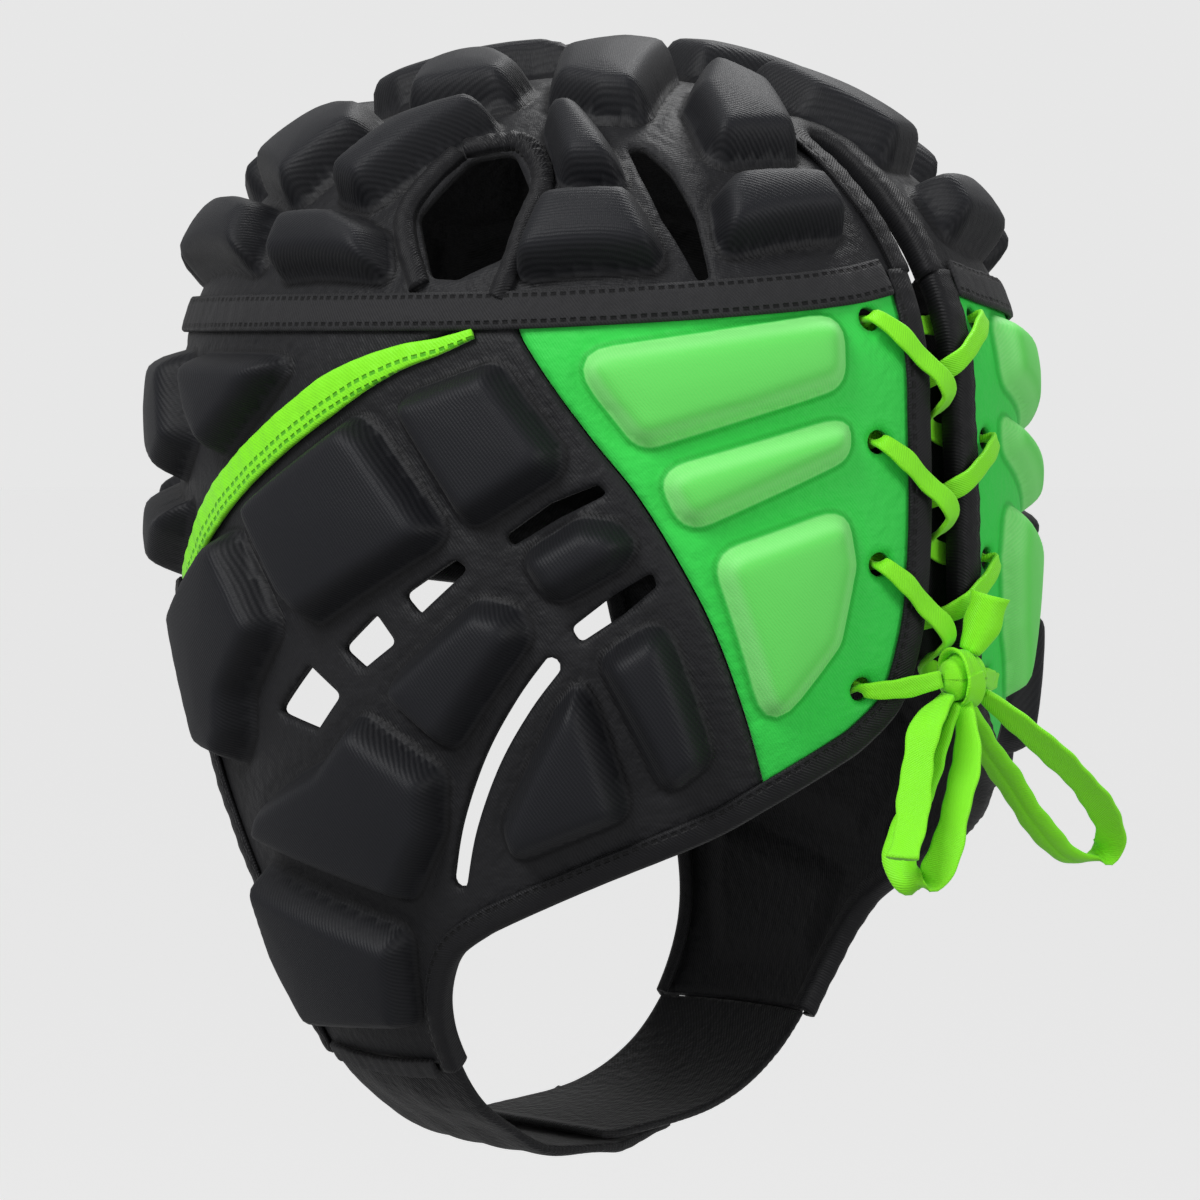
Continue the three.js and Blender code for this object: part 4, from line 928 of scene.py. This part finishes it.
def tape_mesh(name, point_at, line, section_at, flip=False, step=1.2):
    """Tape laid along a line of the pattern. section_at gives its cross-section at a share of
    its length, as distances to the left of the line and heights over the head."""
    line = resample(line, step)
    softened = line.copy()
    softened[1:-1] = (line[:-2] + 2 * line[1:-1] + line[2:]) / 4
    ahead = np.gradient(softened, axis=0)
    ahead /= np.linalg.norm(ahead, axis=1)[:, None]
    left = np.stack([-ahead[:, 1], ahead[:, 0]], -1)
    section = np.array([section_at(share) for share in np.linspace(0, 1, len(line))])
    flat = softened[:, None, :] + left[:, None, :] * section[:, :, :1]
    along = np.arange(len(line)) * step
    ripple = 0.10 * np.sin(along * 1.3) + 0.08 * np.sin(along * 0.47 + 1)
    height = section[:, :, 1] + ripple[:, None] * (section[:, :, 1] > WALL + 1)
    points = lay(point_at, flat.reshape(-1, 2), height.ravel()).reshape(*section.shape[:2], 3)
    cloth = np.dstack([np.repeat(along[:, None], section.shape[1], 1), section[:, :, 0], 0 * height])
    return tube_mesh(name, points, cloth, flip)


def flat_section(half):
    """A tape's cross-section, thinner at its turned edges."""
    foot = half * 0.96
    upper = [
        (-1, 0.45), (-0.93, 0.85), (-0.8, 1), (-0.4, 1.06), (0, 1.02), (0.4, 1.06), (0.8, 1),
        (0.93, 0.85), (1, 0.45),
    ]
    face = [(side * half, OVER_WALL + share * TAPE_WALL) for side, share in upper]
    return face + [(foot, OVER_WALL), (-foot, OVER_WALL)]


def folded_section():
    """Cross-section of tape folded round an edge, from inside the head to outside."""
    gap = CLEARANCE
    return [
        (BINDING_INNER_LEG, -1.5), (BINDING_INNER_LEG, -gap), (-gap, -gap), (-gap, WALL + gap),
        (BINDING_LEG, WALL + gap), (BINDING_LEG + 0.05, WALL + 1.0), (BINDING_LEG - 0.3, WALL + 1.4),
        (BINDING_LEG - 1.2, WALL + 1.5), (2.4, WALL + 1.68), (0.9, WALL + 1.7), (-0.5, WALL + 1.5),
        (-1.45, WALL + 0.8), (-1.85, WALL - 0.3), (-1.85, 0.2), (-1.5, -0.9), (-0.6, -1.5),
        (0.8, -1.65), (2.2, -1.6),
    ]


band_tape = sew(cloth_material(
    "band_tape", (0.012, 0.012, 0.013), (0.040, 0.040, 0.043), (0.006, 0.006, 0.007),
    pitch=0.75, weave=0.12, pucker_depth=0.6, roughness=0.7, sheen=0.05,
), first_row=-2.75, second_row=2.75, colour=(0.002, 0.002, 0.0025), pitch=2.1)
band_end = [SLIT_HALF_WIDTH + BINDING_LEG + 2.5 * CLEARANCE, BAND_BACK[1] + 0.6]
band_half = smooth([band_end, *BAND_LINE[1:]])
band_run = np.vstack([band_half, across(band_half)[::-1][1:]])
band_mesh = tape_mesh("head_band_tape", side_point, band_run, lambda share: flat_section(BAND_WIDTH / 2))
link_piece("head_band_tape", band_mesh, band_tape, ["head_band"])

# The lime piping is a flat tape over the seam between brow and side panel, narrow at its
# ends. Two rows of darker stitches run along its lower half.
PIPING_WIDTH = 9
piping_tape = sew(cloth_material(
    "piping_tape", LIME, (0.30, 0.82, 0.03), (0.2, 0.6, 0.02),
    pitch=0.8, weave=0.05, pucker_depth=0.35, roughness=0.5, sheen=0.1,
), first_row=1.0, second_row=3.0, colour=(0.08, 0.42, 0.01), pitch=2.2)
piping_run = smooth([[103, 113.4], [111, 116], [122, 118.8], *PIPING_LINE[2:-1], [203, 168.5]])


def piping_section(share):
    return flat_section(PIPING_WIDTH / 2 * min(1, 0.22 + 2.3 * share, 0.6 + 1.6 * (1 - share)))


for side, flip in SIDES:
    mesh = tape_mesh(f"piping_tape_{side}", side_point, piping_run, piping_section, flip)
    link_piece(f"piping_tape_{side}", mesh, piping_tape, [f"piping_{side}"])

# Bindings of black tape are folded round the raw edges and sewn down: the slit in the crown,
# the lacing gap with the lower rim, the face opening and the brow.
edge_tape = sew(cloth_material(
    "edge_tape", (0.004, 0.004, 0.005), (0.012, 0.012, 0.014), (0.005, 0.005, 0.006),
    pitch=0.7, weave=0.1, pucker_depth=0.5, roughness=0.55, sheen=0.04,
), first_row=3.6, second_row=9, colour=(0.002, 0.002, 0.0025), pitch=2.2)
BINDINGS_MEET = 100.2
slit_foot = np.array([[SLIT_HALF_WIDTH, BINDINGS_MEET]])
slit_line = np.vstack([slit_foot, slit_half[::-1], [[0, SLIT_TOP]], mirror(slit_half), mirror(slit_foot)])
slit_mesh = tape_mesh("slit_tape", crown_point, slit_line, lambda share: folded_section())
link_piece("slit_tape", slit_mesh, edge_tape, ["slit_binding"])
rim_top = [[SLIT_HALF_WIDTH, BINDINGS_MEET]]
rim_line = np.vstack([rim_top, slit_edge, back_corner, smooth(LOWER_EDGE), strap_rear])[::-1]
for side, flip in SIDES:
    mesh = tape_mesh(f"rim_tape_{side}", side_point, rim_line, lambda share: folded_section(), flip)
    link_piece(f"rim_tape_{side}", mesh, edge_tape, [f"rim_binding_{side}"])
    mesh = tape_mesh(f"face_tape_{side}", side_point, face_edge[2:], lambda share: folded_section(), flip)
    link_piece(f"face_tape_{side}", mesh, edge_tape, [f"face_binding_{side}"])
brow_run = np.vstack([brow_edge[2:], across(brow_edge[2:])[::-1][1:]])[::-1]
brow_tape_mesh = tape_mesh("brow_tape", side_point, brow_run, lambda share: folded_section())
link_piece("brow_tape", brow_tape_mesh, edge_tape, ["brow_binding"])

# The large vent's edge is finished with two rolled strips: one is gathered over the top and
# curves down behind the vent to the band, the other runs down in front of it.
ROLL_HALF = 2.5
ROLL_RISE = 2.5
GATHERS = 24
GATHER_RISE = 0.55
ROLL_LINES = {
    "rear": [[64, 16.5], [58, 25.5], [60.5, 33], [67, 40.3], [77, 43.8], [87, 46.8], [94.5, 48]],
    "front": [[66, 15.8], [75, 14.6], [84.5, 14.8], [92, 20], [99.5, 28]],
}


def roll_section(share, gathered):
    folds = math.sin(2 * math.pi * GATHERS * share) * math.exp(-((share - 0.3) / 0.2) ** 2)
    high = WALL + ROLL_RISE + gathered * folds
    half = ROLL_HALF * (1 - 0.12 * gathered * folds)
    return [
        (-half, WALL - 0.3), (-0.92 * half, WALL + 1.2), (-0.5 * half, high - 0.3), (0, high),
        (0.5 * half, high - 0.3), (0.92 * half, WALL + 1.2), (half, WALL - 0.3), (0, WALL - 0.6),
    ]


for side, flip in SIDES:
    for place, line in ROLL_LINES.items():
        gathered = GATHER_RISE if place == "rear" else 0.0
        mesh = tape_mesh(
            f"vent_roll_{place}_{side}", crown_point, smooth(line),
            lambda share, gathered=gathered: roll_section(share, gathered), flip, step=0.5,
        )
        link_piece(f"vent_roll_{place}_{side}", mesh, edge_tape, [])

# The chin strap is soft webbing with a brushed face. The left half passes outside the right
# half and grips it, hook to loop, under the chin; a tape covers each seam at the cheek.
STRAP_WALL = 2.2
TAB_WALL = 1.9
STRAP_TOP = STRAP_DOWN + SEAM_GAP
STRAP_FRONT = [
    [STRAP_FRONT_FOOT[0], STRAP_TOP], [192, 292], [203, 315], [213, 338], [216, 360], [212, 384],
]
STRAP_BACK = [[STRAP_REAR_FOOT[0], STRAP_TOP], [120, 296], [121, 320], [124, 345], [134, 370]]
LIFT_START = 300
LIFT_END = 322
TAB_END = 352
SEAM_TAPE_WIDTH = 5


def lifted(point_at, lift):
    """The same surface, raised by a height that changes over the pattern."""
    return lambda steps: lay(point_at, steps, lift(steps))


def smoothstep(value, low, high):
    t = np.clip((value - low) / (high - low), 0, 1)
    return t * t * (3 - 2 * t)


def strap_lift(steps):
    return (TAB_WALL + 2 * CLEARANCE) * smoothstep(steps[:, 1], LIFT_START, LIFT_END)


def no_swell(depth):
    """Plain cloth has no pads to swell over."""
    return 0 * depth


def waves(flat, pad_depth):
    """Soft waves in the webbing."""
    return 0.25 * np.sin(flat[:, 1] * 0.22 + flat[:, 0] * 0.05) + 0.15 * np.sin(flat[:, 0] * 0.31)


strap_cloth = cloth_material(
    "strap_cloth", (0.005, 0.005, 0.006), (0.015, 0.015, 0.017), (0.007, 0.007, 0.008),
    pitch=1.3, weave=0.10, pucker_depth=0.8, roughness=0.65, sheen=0.08,
)
strap_front = smooth(STRAP_FRONT)
strap_back = smooth(STRAP_BACK)
strap_mesh = padded_sheet(
    "strap_cloth", lifted(side_point, strap_lift), closed(strap_front, strap_back[::-1]), [], [],
    no_swell, shape=waves, wall=STRAP_WALL,
)
link_piece("strap_cloth", strap_mesh, strap_cloth, ["chin_strap"])


def until_tab_end(line):
    kept = line[line[:, 1] < TAB_END]
    following = line[len(kept)]
    share = (TAB_END - kept[-1, 1]) / (following[1] - kept[-1, 1])
    return np.vstack([kept, kept[-1] + (following - kept[-1]) * share])


tab_mesh = padded_sheet(
    "tab_cloth", side_point, closed(until_tab_end(strap_front), until_tab_end(strap_back)[::-1]), [], [],
    no_swell, wall=TAB_WALL, flip=True,
)
link_piece("tab_cloth", tab_mesh, strap_cloth, ["chin_tab"])
seam_inset = 1.5 * (BINDING_LEG + CLEARANCE)
seam_line = smooth([
    [STRAP_FRONT_FOOT[0] - seam_inset, STRAP_DOWN], [153, STRAP_DOWN + 1],
    [STRAP_REAR_FOOT[0] + seam_inset, STRAP_DOWN],
])
for side, flip in SIDES:
    mesh = tape_mesh(
        f"seam_cover_{side}", side_point, seam_line, lambda share: flat_section(SEAM_TAPE_WIDTH / 2), flip,
    )
    link_piece(f"seam_cover_{side}", mesh, band_tape, [f"seam_tape_{side}"])

# The tongue is a dark panel behind the lacing, sewn to the left back panel along one side.
# It is plain black knit, cut with round corners, and it keeps the lace off the hair.
TONGUE_WALL = 2
TONGUE_OUTLINE = [[-22, 115], [33, 115], [35, 150], [33, 184], [-20, 184], [-22, 150]]
TONGUE_SEAM = 24
TONGUE_SEAM_WIDTH = 5
LACE_THICKNESS = 1.2
LACE_DEPTH = CLEARANCE + TAPE_WALL + CLEARANCE + LACE_THICKNESS + CLEARANCE


def tongue_lift(steps):
    free = 1 - smoothstep(steps[:, 0], TONGUE_SEAM, TONGUE_SEAM + TONGUE_SEAM_WIDTH)
    return -TONGUE_WALL - 2.6 * CLEARANCE - free * (LACE_DEPTH - CLEARANCE)


tongue_mesh = padded_sheet(
    "tongue_cloth", lifted(side_point, tongue_lift), rounded(TONGUE_OUTLINE, 4), [], [],
    no_swell, wall=TONGUE_WALL,
)
link_piece("tongue_cloth", tongue_mesh, edge_tape, ["tongue"])

# One flat lime lace runs from a bar inside the top eyelets down to the knot, crossing over
# the gap in each row. It is a woven tube pressed flat, creased along its middle.
LACE_WIDTH = 4.4
LACE_OUTSIDE = WALL + CLEARANCE + TAPE_WALL + CLEARANCE + LACE_THICKNESS / 2
LACE_INSIDE = -(CLEARANCE + TAPE_WALL + CLEARANCE + LACE_THICKNESS / 2)
KNOT_HALF_WIDTH = 6.5
KNOT_HALF_DEPTH = 4
KNOT_HALF_HEIGHT = 5.2
EYELET_STOPS = [
    {"side": 1, "down": 0, "height": 0.02, "eyelet": True},
    {"side": 1, "down": 0, "height": 0.5, "eyelet": True},
    {"side": 1, "down": 0.01, "height": 0.88, "eyelet": True},
]
OVER_RUN = EYELET_STOPS + [
    {"side": 12.5, "down": 0.16, "height": 1.04},
    {"side": 8, "down": 0.34, "height": 1.06},
    {"side": 4, "down": 0.48, "height": 1.18},
    {"side": 1.6, "down": 0.6, "height": 1.12},
    {"side": 0.9, "down": 0.69, "height": 0.85},
    {"side": 0.2, "down": 0.76, "height": 0.5},
    {"side": -0.5, "down": 0.83, "height": 0.1},
    {"side": -3, "down": 0.9, "height": -0.06},
    {"side": -8, "down": 0.96, "height": -0.06},
    {"side": -13, "down": 0.99, "height": -0.04},
]
UNDER_RUN = EYELET_STOPS + [
    {"side": 12.5, "down": 0.12, "height": 1.02},
    {"side": 8, "down": 0.24, "height": 1.03},
    {"side": 4.4, "down": 0.33, "height": 1.02},
    {"side": 1.8, "down": 0.4, "height": 0.8},
    {"side": -0.2, "down": 0.46, "height": 0.4},
    {"side": -1.8, "down": 0.51, "height": 0},
    {"side": -5, "down": 0.59, "height": -0.07},
    {"side": -10, "down": 0.78, "height": -0.07},
    {"side": -14, "down": 0.94, "height": -0.04},
]
lime_lace = cloth_material(
    "lime_lace", LIME, (0.28, 0.82, 0.03), (0.2, 0.6, 0.02),
    pitch=0.55, weave=0.10, pucker_depth=0.25, roughness=0.45, sheen=0.1,
)
knot_height = LACE_OUTSIDE + KNOT_HALF_DEPTH
knot_centre = lay(side_point, [[0, EYELETS[3][1] - 3]], knot_height)[0]
lace_random = np.random.default_rng(7)


def ribbon_mesh(name, stations, width, thickness, curl=0.25, step=0.9):
    """Flat woven lace through stations of a point, the direction of its width and its share
    of the full width there."""
    fine = spline(stations, 24 * (len(stations) - 1) + 1)
    along = np.append(0, np.cumsum(np.linalg.norm(np.diff(fine[:, :3], axis=0), axis=1)))
    even = np.linspace(0, along[-1], int(along[-1] / step) + 1)
    path = np.stack([np.interp(even, along, fine[:, k]) for k in range(7)], -1)
    centre, share = path[:, :3], path[:, 6].clip(0.45, 1)
    ahead = np.gradient(centre, axis=0)
    ahead /= np.linalg.norm(ahead, axis=1)[:, None]
    wide = path[:, 3:6] - ahead * np.sum(path[:, 3:6] * ahead, 1)[:, None]
    wide /= np.linalg.norm(wide, axis=1)[:, None]
    up = np.cross(wide, ahead)
    phase = lace_random.uniform(0, 6.28, 2)
    sway = 1 + 0.06 * np.sin(even * 0.35 + phase[0]) + 0.04 * np.sin(even * 0.9 + phase[1])
    profile = np.array([
        (-1, 0), (-0.97, 0.55), (-0.8, 0.95), (-0.45, 1), (-0.12, 0.85), (0, 0.55), (0.12, 0.85),
        (0.45, 1), (0.8, 0.95), (0.97, 0.55), (1, 0), (0.97, -0.55), (0.8, -0.95), (0.3, -1),
        (-0.3, -1), (-0.8, -0.95), (-0.97, -0.55),
    ])
    half = width / 2 * share * sway
    lift = thickness / 2 / np.sqrt(share)
    side = profile[None, :, 0] * half[:, None]
    height = profile[None, :, 1] * lift[:, None] - curl * (profile[None, :, 0] ** 2 - 0.4) * share[:, None]
    rings = centre[:, None, :] + wide[:, None, :] * side[:, :, None] + up[:, None, :] * height[:, :, None]
    cloth = np.dstack([np.repeat(even[:, None], len(profile), 1), side, 0 * side])
    return tube_mesh(name, rings, cloth), centre


def strand_stations(sign):
    first_side, first_down = EYELETS[0]
    stops = [(a * sign, first_down, LACE_INSIDE, 1) for a in (0.5, 8, first_side - 2)]
    side = sign
    for (start_side, start_down), (_, end_down) in zip(EYELETS, EYELETS[1:]):
        for stop in OVER_RUN if side > 0 else UNDER_RUN:
            in_eyelet = stop.get("eyelet", False)
            away = start_side * stop["side"] if in_eyelet else stop["side"]
            down = start_down + (end_down - start_down) * stop["down"]
            height = LACE_INSIDE + (LACE_OUTSIDE - LACE_INSIDE) * stop["height"]
            stops.append((side * away, down, height, 0.75 if in_eyelet else 1))
        side = -side
    last_side, last_down = EYELETS[-1]
    at_knot = (knot_height - LACE_INSIDE) / (LACE_OUTSIDE - LACE_INSIDE)
    half_way = 1.1 + (at_knot - 1.1) * 0.4
    for away, down, height, share in (
        (last_side, 0, 0.02, 0.75), (last_side, 0, 0.5, 0.75), (last_side, -0.3, 0.9, 0.75),
        (last_side - 4, -0.6, 1.05, 1), (last_side - 8, -1.4, half_way, 1),
    ):
        level = LACE_INSIDE + (LACE_OUTSIDE - LACE_INSIDE) * height
        stops.append((side * away, last_down + down, level, share))
    stops = np.array(stops)
    along_a, along_b, normal = directions(side_point, stops[:, :2])
    change = np.vstack([stops[1:, :2], stops[-1:, :2]]) - np.vstack([stops[:1, :2], stops[:-1, :2]])
    ahead = along_a * change[:, :1] + along_b * change[:, 1:]
    wide = np.cross(normal, ahead)
    wide /= np.linalg.norm(wide, axis=1)[:, None]
    points = lay(side_point, stops[:, :2], stops[:, 2])
    end = knot_centre + [side * (KNOT_HALF_WIDTH + CLEARANCE), 0, 0]
    return np.vstack([
        np.column_stack([points, wide, stops[:, 3]]), [*end, 0, 0, side, 0.8],
    ])


for side, sign in (("left", 1), ("right", -1)):
    mesh, _ = ribbon_mesh(f"lace_{side}", strand_stations(sign), LACE_WIDTH, LACE_THICKNESS)
    link_piece(f"lace_{side}", mesh, lime_lace, [f"lace_strand_{side}"])

# The bow at the foot of the lacing: a knot drawn tight, two hanging loops and two ends. The
# points of each free part are given in millimetres from the knot's middle.
BOW_LACE_WIDTH = 7
GATHERED = 0.5
LOOP_LEFT = [
    [0.8, 1.6, -7.2], [4, 5, -16], [9, 6.5, -26], [13, 6.5, -36], [17, 5, -42], [20, 2, -41],
    [19, -1, -36], [14, -2, -28], [9, -1.6, -18], [2.8, -0.9, -7.6],
]
LOOP_RIGHT = [
    [-5.6, 2.4, -4.6], [-14, 7, -12], [-24, 9.5, -20], [-34, 9.5, -28], [-42, 7, -36], [-43, 3, -41],
    [-36, 0, -41], [-26, -1, -33], [-17, -1.5, -23], [-8, -1.5, -14], [-2, -1, -7],
]
END_LEFT = [[5.6, 0.6, -4], [13, 1, -10], [17, 2, -20], [21, 4, -30], [26, 6, -36]]
END_UP = [[-1.6, 0.6, 6], [-3, 2.5, 11], [-4, 4, 17.5]]


def out_of_knot(offset):
    """Where a part of the bow that leaves in a direction comes out of the knot."""
    offset = np.array(offset, float)
    size = np.linalg.norm(offset / [KNOT_HALF_WIDTH, KNOT_HALF_DEPTH, KNOT_HALF_HEIGHT])
    return offset * (1 / size + CLEARANCE / np.linalg.norm(offset))


def free_lace(route, loop, wide):
    stations = []
    for i, offset in enumerate(route):
        in_knot = i == 0 or (loop and i == len(route) - 1)
        place = knot_centre + (out_of_knot(offset) if in_knot else np.array(offset, float))
        stations.append([*place, *wide[min(i * len(wide) // len(route), len(wide) - 1)],
                         GATHERED if in_knot else 1])
    return np.array(stations)


FACING = (-0.5, 0.85, 0.1)
EDGE_ON = (-0.25, 1, 0.2)
BOW_PARTS = {
    "bow_loop_left": {"route": LOOP_LEFT, "loop": True, "wide": [EDGE_ON, FACING, FACING, EDGE_ON]},
    "bow_loop_right": {"route": LOOP_RIGHT, "loop": True, "wide": [EDGE_ON, EDGE_ON]},
    "bow_end_left": {"route": END_LEFT, "loop": False, "wide": [FACING]},
    "bow_end_up": {"route": END_UP, "loop": False, "wide": [FACING], "curl": 2.2, "width": 8.6},
}
for name, part in BOW_PARTS.items():
    stations = free_lace(part["route"], part["loop"], part["wide"])
    mesh, centre = ribbon_mesh(
        f"{name}_lace", stations, part.get("width", BOW_LACE_WIDTH), LACE_THICKNESS, part.get("curl", 0.5),
    )
    link_piece(f"{name}_lace", mesh, lime_lace, [name])


# The knot itself: the lace wrapped over its own strands, so that it shows as a rolled band
# with folds that run into it.
KNOT_FOLDS = 9
KNOT_RINGS = 28
KNOT_SIDES = 48
polar = np.linspace(0.06, math.pi - 0.06, KNOT_RINGS)[:, None]
round_knot = np.linspace(0, 2 * math.pi, KNOT_SIDES, endpoint=False)[None, :]
fold = 1 + 0.06 * np.sin(KNOT_FOLDS * polar + 1.5 * np.sin(round_knot)) * np.sin(polar)
waist = 1 - 0.10 * np.exp(-((polar - math.pi / 2) / 0.35) ** 2) * (1 + np.cos(2 * round_knot)) / 2
knot_rings = np.dstack([
    KNOT_HALF_WIDTH * np.cos(polar) * fold + 0 * round_knot,
    KNOT_HALF_DEPTH * np.sin(polar) * np.cos(round_knot) * fold * waist,
    KNOT_HALF_HEIGHT * np.sin(polar) * np.sin(round_knot) * fold * waist,
]) + knot_centre
knot_cloth = np.dstack([
    6 * polar + 0 * round_knot, 6 * round_knot + 0 * polar, 0 * polar + 0 * round_knot,
])
knot_mesh = tube_mesh("knot_lace", knot_rings, knot_cloth)
link_piece("knot_lace", knot_mesh, lime_lace, ["lace_knot"])
WRAP_SHIFT = 0.35
WRAP_WIDTH = 5.4
WRAP_THICKNESS = 1.0
wrap_angle = np.linspace(-0.6, 2 * math.pi + 0.2, 14)
wrap_reach = 1.08 + 0.05 * wrap_angle / wrap_angle[-1]
wrap_x = 1.2 * np.sin(wrap_angle + 0.5) + WRAP_SHIFT
wrap_points = np.stack([
    wrap_x, KNOT_HALF_DEPTH * wrap_reach * np.cos(wrap_angle),
    KNOT_HALF_HEIGHT * wrap_reach * np.sin(wrap_angle),
], -1) + knot_centre
wrap_wide = np.tile([1.0, 0.1, 0.15], (len(wrap_points), 1))
wrap_stations = np.column_stack([wrap_points, wrap_wide, np.ones(len(wrap_points))])
wrap_mesh, _ = ribbon_mesh(
    "knot_wrap", wrap_stations, WRAP_WIDTH, WRAP_THICKNESS, curl=0.35, step=0.5,
)
link_piece("knot_wrap", wrap_mesh, lime_lace, [])
